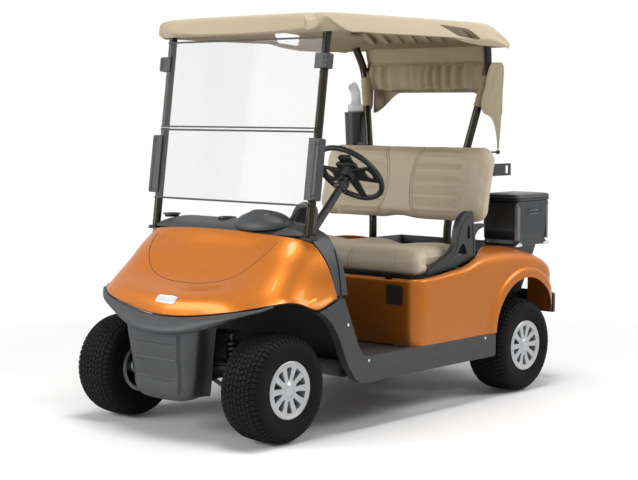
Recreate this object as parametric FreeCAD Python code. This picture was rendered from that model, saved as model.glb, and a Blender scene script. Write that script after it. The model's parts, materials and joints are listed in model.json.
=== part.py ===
"""A two-seat golf cart, modelled piece by piece.

X runs forward, Y to the driver's side, Z up. The origin is on the ground, under the middle
of the cart's length. All sizes are in millimetres.
"""
import FreeCAD
import Part
import math
import os

V = FreeCAD.Vector

# Plan of the cart
wheelbase = 1670.0
front_overhang = 265.0
rear_overhang = 445.0
front_track = 904.0
rear_track = 984.0
body_half_width = 585.0

# Wheels and tyres
tyre_radius = 228.6
tyre_width = 216.0
rim_radius = 101.6
rim_wall = 5.0
rim_flange = 10.0
tyre_gap = 0.4
cover_radius = 123.0
cover_face = 104.0
pocket_count = 10
lug_circle = 101.6
lug_hole_radius = 6.5
lug_count = 4
spindle_radius = 12.5
spindle_gap = 0.1

# Steering and front suspension
kingpin_inset = 127.0
kingpin_radius = 10.0
kingpin_gap = 0.1
knuckle_half_height = 65.0
eye_gap = 0.4
steering_arm_back = 110.0
steering_arm_in = 20.0
tie_rod_radius = 8.0
rack_radius = 11.0
steering_wheel_radius = 177.0
rim_grip_radius = 13.0
steering_wheel_tilt = 44.6
steering_wheel_centre = (-709.0, 269.0, 1097.0)

# Frame
rail_inset = 242.0
rail_width = 50.0
rail_height = 69.0
rail_bottom = 233.0
front_rail_y = 125.0
front_rail_width = 40.0
kick_up = 150.0
spring_top = 432.0
upright_inset = 88.0
upright_radius = 17.0

# Body
panel_wall = 5.0
groove_depth = 2.0
scoop_half_width = 373.0
scoop_depth = 15.0
flare_proud = 10.0
floor_top = 310.3
floor_wall = 8.0
sill_bottom = 205.0
sill_top = 318.0
sill_width = 42.0
arch_radius = 262.0
arch_centre_up = 74.0
arch_centre_back = 10.0

# Roof and its struts
strut_radius = 19.0
front_strut_inset = 111.0
column_radius = 19.0
shaft_radius = 9.0
rear_strut_radius = 20.0
roof_front = -240.0
roof_rear = -65.0
roof_half_width = 575.0
roof_wall = 6.0
gusset_count = 6
gusset_pitch = 95.0
glass_wall = 5.0
glass_half_width = 478.0

# Seat
seat_half_width = 560.0
seat_rear_half_width = 486.0
cover_wall = 6.0
knob_z = 1176.0
knob_radius = 11.0
seat_hinge_height = 632.0
cushion_over_hinge = 4.0
backrest_half_width = 565.0

# Places measured from the two axles
front_axle_x = (wheelbase + rear_overhang - front_overhang) / 2
rear_axle_x = front_axle_x - wheelbase
axle_z = tyre_radius
kingpin_y = front_track / 2 - kingpin_inset
rail_y = rear_track / 2 - rail_inset
upright_y = body_half_width - upright_inset
front_strut_y = body_half_width - front_strut_inset
cushion_bottom = seat_hinge_height + cushion_over_hinge


def ahead(distance):
    """A place measured forward from the front axle."""
    return front_axle_x + distance


def astern(distance):
    """A place measured forward from the rear axle."""
    return rear_axle_x + distance


def box(x, y, z):
    """A block between two places on each axis."""
    return Part.makeBox(x[1] - x[0], y[1] - y[0], z[1] - z[0], V(x[0], y[0], z[0]))


def rod(start, end, radius):
    """A round bar between two points."""
    run = V(*end) - V(*start)
    return Part.makeCylinder(radius, run.Length, V(*start), run)


def pipe(start, end, outer, inner):
    """A round tube between two points."""
    return rod(start, end, outer).cut(rod(start, end, inner))


def mirrored(shape):
    """The same piece on the passenger's side."""
    return shape.mirror(V(0, 0, 0), V(0, 1, 0))


def fused(shapes):
    """One solid from pieces that run into each other."""
    whole = shapes[0]
    if len(shapes) > 1:
        whole = whole.fuse(shapes[1:])
    return whole.removeSplitter()


def welded(pieces):
    """Pieces that meet face to face: each is cut back by those before it."""
    seated = []
    for piece in pieces:
        near = [other for other in seated if other.BoundBox.intersect(piece.BoundBox)]
        rest = piece.cut(near) if near else piece
        seated += rest.Solids
    return Part.makeCompound(seated)


def both_sides(shape):
    """A piece and its mirror image, kept apart."""
    return Part.makeCompound([shape, mirrored(shape)])


def side_profile(points, inner_y, outer_y):
    """A closed outline in the side view, given as (x, z), carried across from inner_y to outer_y."""
    corners = [V(x, inner_y, z) for x, z in points]
    face = Part.Face(Part.makePolygon(corners + corners[:1]))
    return face.extrude(V(0, outer_y - inner_y, 0))


def plan_profile(points, bottom, top):
    """A closed outline in plan, given as (x, y), carried up from bottom to top."""
    corners = [V(x, y, bottom) for x, y in points]
    face = Part.Face(Part.makePolygon(corners + corners[:1]))
    return face.extrude(V(0, 0, top - bottom))


def eased(low, high, value):
    """0 below low, 1 above high, and a smooth rise between."""
    share = min(max((value - low) / (high - low), 0), 1)
    return share * share * (3 - 2 * share)


def rounded(shape, radius):
    """A slab carried across the cart, with its corners in the side view rounded."""
    corners = [edge for edge in shape.Edges
               if abs(edge.tangentAt(edge.FirstParameter).y) > 0.999]
    return shape.makeFillet(radius, corners)


def band_sides(points, width):
    """The two edges of a strip of even width along a path in the side view."""
    left = []
    right = []
    last = len(points) - 1
    for i, (x, z) in enumerate(points):
        before = V(x - points[max(i - 1, 0)][0], z - points[max(i - 1, 0)][1], 0)
        after = V(points[min(i + 1, last)][0] - x, points[min(i + 1, last)][1] - z, 0)
        before = before.normalize() if before.Length > 0 else V(after).normalize()
        after = after.normalize() if after.Length > 0 else V(before)
        along = (before + after).normalize()
        reach = width / 2 / max(along.dot(after), 0.3)
        left.append((x - along.y * reach, z + along.x * reach))
        right.append((x + along.y * reach, z - along.x * reach))
    return left, right


def band(points, width, inner_y, outer_y):
    """A strip of even width along a path in the side view, carried across."""
    left, right = band_sides(points, width)
    return side_profile(left + right[::-1], inner_y, outer_y)


def mitred_bar(points, width, inner_y, outer_y):
    """A bar along a path in the side view, in straight lengths that meet at mitres."""
    left, right = band_sides(points, width)
    lengths = []
    for i in range(len(points) - 1):
        corners = [left[i], left[i + 1], right[i + 1], right[i]]
        lengths.append(side_profile(corners, inner_y, outer_y))
    return lengths


def turned(profile, centre, axis=V(0, 1, 0)):
    """A ring from a closed outline given as (place along the axis, radius)."""
    corners = [V(0, along, radius) for along, radius in profile]
    face = Part.Face(Part.makePolygon(corners + corners[:1]))
    ring = face.revolve(V(0, 0, 0), V(0, 1, 0), 360)
    turn = FreeCAD.Rotation(V(0, 1, 0), axis)
    ring.Placement = FreeCAD.Placement(V(*centre), turn)
    return ring


def swept_tube(points, radius, bend):
    """A round bar of straight runs joined by tangent arcs of one bend radius."""
    route = [V(*p) for p in points]
    edges = []
    start = route[0]
    for i in range(1, len(route) - 1):
        into = (route[i] - route[i - 1]).normalize()
        out = (route[i + 1] - route[i]).normalize()
        turn = into.getAngle(out)
        cut = bend * math.tan(turn / 2)
        first = route[i] - into * cut
        last = route[i] + out * cut
        middle = route[i] + (out - into).normalize() * (bend / math.cos(turn / 2) - bend)
        edges.append(Part.LineSegment(start, first).toShape())
        edges.append(Part.Arc(first, middle, last).toShape())
        start = last
    edges.append(Part.LineSegment(start, route[-1]).toShape())
    path = Part.Wire(edges)
    ring = Part.Wire([Part.makeCircle(radius, route[0], route[1] - route[0])])
    return path.makePipeShell([ring], True, False)


def rail(points, count):
    """Evenly spaced places along a smooth curve through the points."""
    curve = Part.BSplineCurve()
    curve.interpolate([V(*p) for p in points])
    first = curve.FirstParameter
    span = curve.LastParameter - first
    return [curve.value(first + span * i / (count - 1)) for i in range(count)]


def evened(rows, count):
    """The same surface's rows, spaced evenly from the first row to the last."""
    columns = [rail([(p.x, p.y, p.z) for p in column], count) for column in zip(*rows)]
    return [list(row) for row in zip(*columns)]


def skin(rows):
    """A smooth surface through rows of places."""
    surface = Part.BSplineSurface()
    surface.interpolate(rows)
    return surface.toShape()


def whole_rows(half_rows):
    """Rows that run from one side of the cart to the other, from rows that start at the middle."""
    rows = []
    for row in half_rows:
        far = [V(p.x, -p.y, p.z) for p in row[:0:-1]]
        rows.append(far + row)
    return rows


def moved_in(rows, depth):
    """The rows moved in along the surface's normal, by a number or by a function of
    (how far up the rows, place)."""
    last_row = len(rows) - 1
    last = len(rows[0]) - 1
    inner = []
    for i, row in enumerate(rows):
        moved = []
        for j, place in enumerate(row):
            up = rows[min(i + 1, last_row)][j] - rows[max(i - 1, 0)][j]
            along = row[min(j + 1, last)] - row[max(j - 1, 0)]
            reach = depth(i / last_row, place) if callable(depth) else depth
            moved.append(place + up.cross(along).normalize() * reach)
        inner.append(moved)
    return inner


def shell(rows, wall):
    """A panel of even thickness whose outer face passes through the rows."""
    outer = skin(rows)
    inner = skin(moved_in(rows, wall))
    edges = [Part.makeRuledSurface(a, b) for a, b in zip(outer.Edges, inner.Edges)]
    panel = Part.makeCompound([outer, inner] + edges)
    panel.sewShape()
    return Part.makeSolid(panel.Shells[0])


def tyre(y, side):
    """A low-profile tyre; the tread itself is left smooth."""
    half = tyre_width / 2
    bead = rim_radius + tyre_gap
    profile = [
        (-86, bead), (-92, bead + 14), (-half + 3, 150), (-half, 172), (-half + 5, 196),
        (-half + 18, 215), (-half + 38, tyre_radius - 3), (0, tyre_radius),
        (half - 38, tyre_radius - 3), (half - 18, 215), (half - 5, 196), (half, 172),
        (half - 3, 150), (92, bead + 14), (86, bead),
    ]
    x = front_axle_x if side == "front" else rear_axle_x
    return turned(profile, (x, y, axle_z))


def rim(y, side):
    """A pressed wheel with its hub, and a ten-pocket cover over its outer face."""
    outward = 1 if y > 0 else -1
    x = front_axle_x if side == "front" else rear_axle_x
    flange = rim_radius + rim_flange
    hub_bore = spindle_radius + spindle_gap
    well = [
        (-98, rim_radius - rim_wall), (-98, flange), (-92, flange), (-90, rim_radius),
        (90, rim_radius), (92, flange), (98, flange), (98, rim_radius - rim_wall),
        (36, rim_radius - rim_wall), (36, hub_bore), (-62, hub_bore), (-62, 38), (28, 38),
        (28, rim_radius - rim_wall),
    ]
    cover = [
        (98, rim_radius - rim_wall), (98, cover_radius - 2), (cover_face - 3, cover_radius),
        (cover_face, cover_radius - 4), (cover_face - 4, cover_radius - 14),
        (cover_face - 9, 40), (cover_face - 2, 26), (cover_face - 3, 0),
        (cover_face - 14, 0), (cover_face - 15, 40), (cover_face - 12, 92),
    ]
    corners = [V(46, 60, -6.5), V(96, 60, -17), V(103, 60, 0), V(96, 60, 17), V(46, 60, 6.5)]
    slot = Part.Face(Part.makePolygon(corners + corners[:1])).extrude(V(0, 60, 0))
    slots = []
    for i in range(pocket_count):
        turn = slot.copy()
        turn.rotate(V(0, 0, 0), V(0, 1, 0), 360.0 * i / pocket_count)
        slots.append(turn)
    disc = turned(cover, (0, 0, 0)).cut(slots)
    lugs = []
    for i in range(lug_count):
        hole = rod((lug_circle / 2, 20, 0), (lug_circle / 2, 44, 0), lug_hole_radius)
        hole.rotate(V(0, 0, 0), V(0, 1, 0), 360.0 * (i + 0.5) / lug_count)
        lugs.append(hole)
    wheel = turned(well, (0, 0, 0)).cut(lugs).fuse(disc)
    if outward < 0:
        wheel = wheel.mirror(V(0, 0, 0), V(0, 1, 0))
    wheel.translate(V(x, y, axle_z))
    return wheel


def knuckle_left():
    """The upright on its kingpin, with the wheel spindle and the steering arm."""
    low = axle_z - knuckle_half_height
    high = axle_z + knuckle_half_height
    sleeve = rod((front_axle_x, kingpin_y, low), (front_axle_x, kingpin_y, high), 21)
    spindle_end = front_track / 2 + 34
    neck = rod((front_axle_x, kingpin_y, axle_z), (front_axle_x, front_track / 2 - 66, axle_z), 19)
    spindle = rod((front_axle_x, kingpin_y, axle_z), (front_axle_x, spindle_end, axle_z),
                  spindle_radius)
    arm_x = ahead(-steering_arm_back)
    arm_y = kingpin_y - steering_arm_in
    outline = [
        (front_axle_x, kingpin_y - 16), (arm_x, arm_y - 12), (arm_x, arm_y + 12),
        (front_axle_x, kingpin_y + 16),
    ]
    arm = plan_profile(outline, axle_z + 14, axle_z + 26)
    boss = rod((arm_x, arm_y, axle_z + 14), (arm_x, arm_y, axle_z + 26), 14)
    bore = rod((front_axle_x, kingpin_y, low), (front_axle_x, kingpin_y, high),
               kingpin_radius + kingpin_gap)
    return fused([sleeve, neck, spindle, arm, boss]).cut(bore)


def steering_rack():
    """The sliding rack with its two tie rods and their end eyes under the steering arms."""
    x = ahead(-steering_arm_back)
    end_y = kingpin_y - steering_arm_in
    z = axle_z + 3
    bar = rod((x, -end_y, z), (x, end_y, z), tie_rod_radius)
    middle = rod((x, -190, z), (x, 190, z), rack_radius)
    ends = []
    for side in (-1, 1):
        top = axle_z + 14 - eye_gap
        ends.append(rod((x, side * end_y, top - 20), (x, side * end_y, top), 13))
    return fused([bar, middle] + ends)


def spring_unit(bottom, top, radius):
    """A damper inside a coil spring, drawn as a row of rounded turns."""
    axis = V(*top) - V(*bottom)
    length = axis.Length
    turns = 8
    pitch = (length - 60) / turns
    profile = [(0, 0), (0, 14), (26, 14), (26, radius)]
    for i in range(turns):
        start = 30 + pitch * i
        profile += [(start, radius - 9), (start + pitch * 0.3, radius),
                    (start + pitch * 0.7, radius), (start + pitch, radius - 9)]
    profile += [(length - 28, radius), (length - 26, 14), (length, 14), (length, 0)]
    return turned(profile, bottom, axis)


def front_suspension():
    """Lower and upper arms, the kingpin between them and the spring unit, on each side."""
    low = axle_z - knuckle_half_height
    high = axle_z + knuckle_half_height
    eye = (front_axle_x, kingpin_y)
    pin = rod((*eye, low - 34), (*eye, high + 20), kingpin_radius)
    lower_eye = rod((*eye, low - 38), (*eye, low - eye_gap), 19)
    upper_eye = rod((*eye, high + eye_gap), (*eye, high + 22), 17)
    pieces = [pin, lower_eye, upper_eye]
    lower_z = low - 27
    upper_z = high + 11
    pivot_y = front_rail_y + front_rail_width / 2 + 15
    for reach in (-68, 68):
        for start_z, pivot_z, radius in ((lower_z, rail_bottom + 13, 9),
                                         (upper_z, rail_bottom + 59, 8)):
            pieces.append(rod((*eye, start_z), (ahead(reach), pivot_y, pivot_z), radius))
            pieces.append(rod((ahead(reach - 12), pivot_y, pivot_z),
                              (ahead(reach + 12), pivot_y, pivot_z), 14.7))
    seat_y = kingpin_y - 82
    seat_z = lower_z + (rail_bottom + 13 - lower_z) * 82 / (kingpin_y - pivot_y)
    pieces.append(box((ahead(-46), ahead(46)), (seat_y - 22, seat_y + 22),
                      (seat_z - 4, seat_z + 12)))
    foot = (front_axle_x, seat_y, seat_z + 8)
    head = (front_axle_x, seat_y - 34, spring_top)
    pieces.append(spring_unit(foot, head, 32))
    return both_sides(fused(pieces))


def frame():
    """Ladder frame in welded lengths, with a kick-up over the rear axle, the hoop that carries
    the front struts and the two bridges that carry the seat."""
    mid = rail_bottom + rail_height / 2
    top = rail_bottom + rail_height
    cross_x = ahead(-400)
    main = [
        (cross_x + 30, mid), (astern(330), mid), (astern(200), mid + kick_up),
        (astern(-330), mid + kick_up),
    ]
    pieces = []
    for side in (-1, 1):
        inner = side * rail_y - rail_width / 2
        pieces += mitred_bar(main, rail_height, inner, inner + rail_width)
        front = side * front_rail_y - front_rail_width / 2
        rail = box((cross_x + 30, ahead(140)), (front, front + front_rail_width),
                   (rail_bottom, top))
        pieces.append(rail.cut(rod((ahead(-steering_arm_back), -400, axle_z + 3),
                                   (ahead(-steering_arm_back), 400, axle_z + 3),
                                   rack_radius + 1.3)))
        tower_in = side * (front_rail_y + front_rail_width / 2)
        tower_out = side * (kingpin_y - 92)
        pieces.append(box((ahead(-34), ahead(34)), tuple(sorted((tower_in - side * 12, tower_in))),
                          (rail_bottom, spring_top + 14)))
        pieces.append(box((ahead(-34), ahead(34)), tuple(sorted((tower_in - side * 12, tower_out))),
                          (spring_top + 2.6, spring_top + 14)))
    half = upright_y + 24
    pieces.append(box((cross_x - 30, cross_x + 30), (-half, half), (rail_bottom, top)))
    pieces.append(box((ahead(110), ahead(140)), (-front_rail_y, front_rail_y), (rail_bottom, top)))
    pieces.append(box((astern(330), astern(380)), (-half, half), (rail_bottom, top)))
    pieces.append(box((astern(773), astern(797)), (-312, 312), (rail_bottom, top)))
    for near, far in ((-330, -290), (150, 190)):
        pieces.append(box((astern(near), astern(far)), (-rail_y, rail_y),
                          (rail_bottom + kick_up, top + kick_up)))
    return Part.makeCompound(welded(pieces + hoop() + seat_bridges()).Solids + [rack_housing()])


def hoop():
    """The uprights under the front struts, the bar between them and the dash's two lugs."""
    plate_z = 837
    pieces = []
    for side in (-1, 1):
        y = side * front_strut_y
        pieces.append(box((ahead(-234), ahead(-176)), tuple(sorted((y - 27, y + 27))),
                          (plate_z, plate_z + 8)))
        foot = (ahead(-395), side * upright_y, rail_bottom + rail_height - 4)
        head = (ahead(-202 + 193 * 20 / 538), side * (front_strut_y - 23 * 20 / 538), plate_z + 19)
        above = box((ahead(-300), ahead(-100)), tuple(sorted((y - 60, y + 60))), (plate_z, 900))
        pieces.append(rod(foot, head, upright_radius).cut(above))
    pieces.append(rod((ahead(-205), -front_strut_y, 826), (ahead(-205), front_strut_y, 826), 12))
    for y in (-220, 60):
        pieces.append(rod((ahead(-205), y, 826), (ahead(-205), y, 886.5), 8))
    return pieces


def seat_bridges():
    """Two bars on posts across the frame, with the ears and pins of the seat's hinge."""
    bar_top = seat_hinge_height - 10.3
    pieces = []
    for place, post_y, reach in ((355, 450, 530), (785, 300, 470)):
        pieces.append(box((astern(place - 12), astern(place + 12)), (-reach, reach),
                          (bar_top - 20, bar_top)))
        for side in (-1, 1):
            pieces.append(box((astern(place - 12), astern(place + 12)),
                              (side * post_y - 12, side * post_y + 12), (rail_bottom, bar_top)))
    hinge_x = astern(365)
    for side in (-1, 1):
        pieces.append(rod((hinge_x, side * 300, seat_hinge_height),
                          (hinge_x, side * 360, seat_hinge_height), 5))
        for y in (302, 358):
            pieces.append(box((astern(355), astern(371)), (side * y - 3, side * y + 3),
                              (bar_top - 5, seat_hinge_height + 8)))
    return pieces


def rack_housing():
    """The tube that the steering rack slides in, between the front rails."""
    x = ahead(-steering_arm_back)
    reach = front_rail_y - front_rail_width / 2
    return pipe((x, -reach, axle_z + 3), (x, reach, axle_z + 3), 24, rack_radius + 0.3)


def rear_axle():
    """A live axle: tube, final drive and electric motor, with a half-shaft to each wheel."""
    tube_end = rear_track / 2 - 66
    tube = rod((rear_axle_x, -tube_end, axle_z), (rear_axle_x, tube_end, axle_z), 34)
    shaft_end = rear_track / 2 + 34
    shaft = rod((rear_axle_x, -shaft_end, axle_z), (rear_axle_x, shaft_end, axle_z),
                spindle_radius)
    drive = turned([(-52, 0), (-52, 58), (-30, 92), (30, 92), (52, 58), (52, 0)],
                   (rear_axle_x, -40, axle_z + 6))
    motor = rod((astern(120), -95, axle_z + 20), (astern(120), 165, axle_z + 20), 92)
    neck = box((rear_axle_x, astern(120)), (-80, -20), (axle_z - 50, axle_z + 66))
    drums = []
    for side in (-1, 1):
        inner = side * (rear_track / 2 - 88)
        drums.append(rod((rear_axle_x, inner, axle_z), (rear_axle_x, side * tube_end, axle_z), 84))
    return fused([tube, shaft, drive, motor, neck] + drums)


def rear_springs():
    """Leaf springs under the axle and dampers behind it."""
    y = rail_y + rail_width / 2 + 34
    leaves = []
    for i, reach in enumerate((300, 220, 150)):
        thick = 8
        z = axle_z - 34.4 - thick * i
        path = [(astern(-reach), z + 62 * (reach / 300) ** 2), (astern(-reach / 2), z + 16),
                (rear_axle_x, z - thick / 2), (astern(reach / 2), z + 16),
                (astern(reach), z + 62 * (reach / 300) ** 2)]
        leaves.append(band(path, thick, y - 22, y + 22))
    clamp = box((astern(-45), astern(45)), (y - 27, y + 27), (axle_z - 66, axle_z - 34.4))
    hangers = []
    for reach in (-290, 290):
        hangers.append(box((astern(reach - 12), astern(reach + 12)),
                           (rail_y + rail_width / 2 + 0.3, y + 22),
                           (axle_z + 20, rail_bottom + kick_up + 20)))
    damper = rod((astern(-60), y - 4, axle_z - 50), (astern(-180), y - 10, 420), 17)
    return both_sides(fused(leaves + [clamp, damper] + hangers))


def battery_block():
    """The battery pack as one plain block on the frame, under the seat."""
    top = rail_bottom + rail_height
    half = rail_y - 35
    return box((astern(215), astern(790)), (-half, half), (top + 0.3, top + 276))


def floor_pan():
    """The floor with its ribbed mat and the toe board that rises to the dash."""
    half = body_half_width - sill_width - 0.3
    rear = astern(865) - panel_wall - 0.5 - floor_wall / 2
    level = floor_top - floor_wall / 2
    path = [(rear, level), (ahead(-432), level), (ahead(-404), 372), (ahead(-322), 585)]
    flange = box((rear - floor_wall / 2, rear + floor_wall / 2), (-450, 450), (level, 350))
    return fused([band(path, floor_wall, -half, half), flange])


def rocker(side):
    """The sill moulding that rises at the front between the wheel arch and the cabin."""
    outline = [
        (ahead(-143), 544), (ahead(-190), 518), (ahead(-231), 482), (ahead(-262), 438),
        (ahead(-287), 388), (ahead(-332), 293), (ahead(-384), 226), (ahead(-424), sill_bottom),
        (astern(243), sill_bottom), (astern(243), sill_top - 10), (astern(250), sill_top),
        (ahead(-450), sill_top), (ahead(-428), 330), (ahead(-401), 374), (ahead(-343), 507),
        (ahead(-305), 590), (ahead(-272), 580), (ahead(-180), 549),
    ]
    sill = side_profile(outline, body_half_width - sill_width, body_half_width)
    return sill if side > 0 else mirrored(sill)


def cowl_rows():
    """Rows of the front cowl from its lower edge up to the dash seam, half the cart wide."""
    lower = [(200, 0, 514), (194, 100, 517), (179, 200, 527), (163, 300, 542), (143, 400, 560),
             (105, 490, 580), (30, 545, 592), (-60, 566, 578), (-135, 578, 551),
             (-200, 579, 566), (-270, 576, 590)]
    belt = [(181, 0, 587), (175, 100, 590), (158, 200, 598), (132, 300, 609), (100, 390, 618),
            (50, 470, 628), (-20, 520, 634), (-100, 545, 630), (-170, 558, 622),
            (-225, 562, 630), (-262, 564, 645)]
    crease = [(70, 0, 639), (64, 100, 644), (48, 200, 657), (28, 300, 674), (2, 385, 690),
              (-30, 440, 694), (-80, 480, 694), (-130, 508, 694), (-180, 528, 695),
              (-218, 540, 700), (-247, 549, 712)]
    crown = [(-30, 0, 762), (-34, 100, 764), (-46, 200, 768), (-62, 290, 772), (-84, 360, 772),
             (-108, 408, 770), (-138, 446, 770), (-168, 474, 770), (-196, 498, 770),
             (-214, 514, 771), (-226, 523, 775)]
    seam = [(-115, 0, 864), (-117, 100, 863), (-122, 200, 860), (-130, 290, 855),
            (-140, 350, 851), (-150, 395, 847), (-162, 430, 842), (-172, 455, 837),
            (-182, 475, 831), (-190, 489, 825), (-197, 500, 819)]
    half_rows = []
    for places in (lower, belt, crease, crown, seam):
        half_rows.append(rail([(ahead(x), y, z) for x, y, z in places], 13))
    return moved_in(whole_rows(evened(half_rows, 9)), scoop)


def scoop(up, place):
    """How deep the nose is dished at a place: inside the U-shaped edge between the fenders."""
    if abs(place.y) >= scoop_half_width:
        return 0
    bow = (1 - (abs(place.y) / scoop_half_width) ** 2.3) ** (1 / 2.3)
    inside = min(ahead(-136 + 206 * bow) - place.x, (scoop_half_width - abs(place.y)) * 1.2)
    return scoop_depth * eased(0, 120, inside) * eased(1.0, 0.78, up)


def front_cowl():
    """The painted nose panel over both front wheels, up to the dash."""
    panel = shell(cowl_rows(), panel_wall)
    notches = []
    for side in (-1, 1):
        y = side * front_strut_y
        notches.append(rod(strut_place(760, y), strut_place(900, y), strut_radius + 1.5))
        notches.append(rod((ahead(-300), side * (upright_y - 12), 560), (ahead(-200), y, 846), 20))
    return panel.cut(notches)


def front_bumper():
    """The grey bumper: a band under the cowl and a fluted face between the tyres."""
    top = [(198, 0, 511), (192, 100, 514), (177, 200, 524), (161, 300, 539), (141, 400, 557),
           (103, 486, 576)]
    nose = [(250, 0, 478), (245, 100, 483), (228, 200, 494), (204, 300, 512), (172, 400, 533),
            (116, 500, 560)]
    low = [(262, 0, 446), (258, 100, 450), (233, 200, 461), (203, 300, 486), (170, 400, 519),
           (108, 506, 548)]
    rows = []
    for places in (top, nose, low):
        rows.append(rail([(ahead(x), y, z) for x, y, z in places], 9))
    lip = shell(whole_rows(rows), -panel_wall)
    face_top = [(222, 0, 470), (226, 120, 470), (220, 195, 470), (205, 222, 470), (150, 214, 470),
                (112, 232, 470)]
    face_mid = [(220, 0, 338), (223, 110, 338), (216, 176, 338), (200, 200, 338), (140, 192, 338),
                (104, 208, 338)]
    face_low = [(206, 0, 152), (208, 90, 156), (202, 146, 164), (188, 168, 170), (128, 160, 172),
                (92, 176, 172)]
    rows = []
    for places in (face_low, face_mid, face_top):
        rows.append(rail([(ahead(x), y, z) for x, y, z in places], 13))
    rows = whole_rows(rows)
    surface = shell(moved_in(rows, -1), groove_depth + 1)
    grooves = []
    for z in (409, 391, 330, 312, 252, 234):
        grooves.append(surface.common(box((ahead(100), ahead(300)), (-150, 150), (z, z + 4))))
    face = shell(rows, panel_wall).cut(grooves)
    stays = [box((ahead(140.3), ahead(213.3)), (side * 80 - 18, side * 80 + 18), (256, 284))
             for side in (-1, 1)]
    return Part.makeCompound([lip, fused([face] + stays)])


def dash_form(inset):
    """The dash's outer form, or a smaller one inside it that is open to the front and below."""
    open_by = 60 if inset else 0
    side = [
        (ahead(-112), 860 - inset), (ahead(-160), 884 - inset), (ahead(-235), 903 - inset),
        (ahead(-283 + inset / 2), 896 - inset), (ahead(-304 + inset), 872),
        (ahead(-318 + inset), 830), (ahead(-340 + inset), 745), (ahead(-357 + inset), 655),
        (ahead(-358 + inset), 608 - open_by), (ahead(-280 + open_by), 600 - open_by),
        (ahead(-270 + open_by), 667), (ahead(-240 + open_by), 745),
        (ahead(-206 + open_by), 808), (ahead(-112 + open_by), 836),
    ]
    crown = [(0, 910), (300, 908), (390, 890), (450, 866), (486, 845), (504, 819), (532, 750),
             (548, 667), (555, 600), (555, 500)]
    half = [(y - inset if y else 0, z - (inset if z > 800 else 0)) for y, z in crown]
    whole = [(-y, z) for y, z in half[:0:-1]] + half
    corners = [V(ahead(-420), y, z) for y, z in whole]
    across = Part.Face(Part.makePolygon(corners + corners[:1])).extrude(V(420, 0, 0))
    return side_profile(side, -600, 600).common(across)


def dash():
    """The dash: a hollow moulding that meets the cowl's seam, with its pod and grab bar."""
    moulding = dash_form(0).cut(dash_form(6))
    seam = [(-115, 0), (-117, 100), (-122, 200), (-130, 290), (-140, 350), (-150, 395),
            (-162, 430), (-172, 455), (-182, 475), (-190, 489), (-199, 503), (-199, 600),
            (-420, 600)]
    plan = [(ahead(x - 7), y) for x, y in seam] + [(ahead(x - 7), -y) for x, y in seam[:0:-1]]
    moulding = moulding.common(plan_profile(plan, 500, 1000))
    pod = Part.makeSphere(1, V(0, 0, 0))
    stretch = FreeCAD.Matrix()
    stretch.scale(V(86, 150, 62))
    pod = pod.transformGeometry(stretch)
    pod.rotate(V(0, 0, 0), V(0, 1, 0), 14)
    pod.translate(V(ahead(-205), 205, 892))
    keep = side_profile([(ahead(-126), 872), (ahead(-165), 882), (ahead(-235), 899),
                         (ahead(-290), 893), (ahead(-320), 1000), (ahead(-126), 1000)], 0, 400)
    pod = pod.common(keep)
    bar = swept_tube([(ahead(-262), 300, 890), (ahead(-300), 335, 965), (ahead(-300), 430, 968),
                      (ahead(-262), 446, 868)], 10, 26)
    whole = fused([moulding, pod, bar])
    openings = []
    for side in (-1, 1):
        edge = [(-208, 835), (-237, 775), (-258, 712), (-273, 645), (-281, 570), (-100, 570),
                (-100, 835)]
        openings.append(side_profile([(ahead(x), z) for x, z in edge], side * 498, side * 600))
        y = side * front_strut_y
        openings.append(rod(strut_place(700, y), strut_place(1000, y), strut_radius + 1.5))
        openings.append(box((ahead(-240), ahead(-160)), tuple(sorted((y - side * 30, y + side * 60))),
                            (820, 854)))
    column = Part.makeCylinder(column_radius + 1, 600, V(0, 0, -620))
    column.Placement = wheel_plane()
    cowl = shell(moved_in(cowl_rows(), -0.4), panel_wall + 0.8)
    whole = whole.cut(openings + [column, cowl])
    return max(whole.Solids, key=lambda solid: solid.Volume)


def strut_place(z, y):
    """A place on a front strut's axis at a height."""
    return (ahead(-204 - (z - 859) * 116 / 854), y, z)


def wheel_plane():
    """The placement of the steering wheel: its axis points at the driver."""
    turn = FreeCAD.Rotation(V(0, 1, 0), steering_wheel_tilt - 90)
    x, y, z = steering_wheel_centre
    return FreeCAD.Placement(V(ahead(x), y, z), turn)


def steering_wheel():
    """The rim, broad spokes with oval openings, hub and the card clip over it."""
    ring = Part.makeTorus(steering_wheel_radius - rim_grip_radius, rim_grip_radius)
    hub = Part.makeCylinder(34, 46, V(0, 0, -30))
    spokes = []
    for angle in (-100, 100):
        plate = plan_profile([(-34, 20), (34, 20), (46, 152), (-46, 152)], -9, 3)
        oval = Part.makeCylinder(16, 40, V(0, 112, -20))
        stretch = FreeCAD.Matrix()
        stretch.scale(V(1.7, 1, 1))
        plate = plate.cut(oval.transformGeometry(stretch))
        plate.rotate(V(0, 0, 0), V(0, 0, 1), angle - 90 if angle > 0 else angle + 90)
        if angle < 0:
            plate = plate.mirror(V(0, 0, 0), V(0, 1, 0))
        spokes.append(plate)
    brace = box((-152, -20), (-16, 16), (-9, 2))
    pad = box((-44, 56), (-58, 58), (2, 20))
    clip = box((14, 84), (-40, 40), (20, 34))
    bore = Part.makeCylinder(shaft_radius + 0.2, 22, V(0, 0, -40))
    shape = fused([ring, hub] + spokes + [brace, pad, clip]).cut(bore)
    shape.Placement = wheel_plane()
    return shape


def steering_column():
    """The column tube, with its upper collar, from under the wheel down into the dash."""
    tube = Part.makeCylinder(column_radius, 470, V(0, 0, -530))
    collar = Part.makeCylinder(29, 62, V(0, 0, -98))
    shaft = Part.makeCylinder(shaft_radius, 80, V(0, 0, -98.3))
    column = fused([tube, collar, shaft])
    column.Placement = wheel_plane()
    return column


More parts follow.
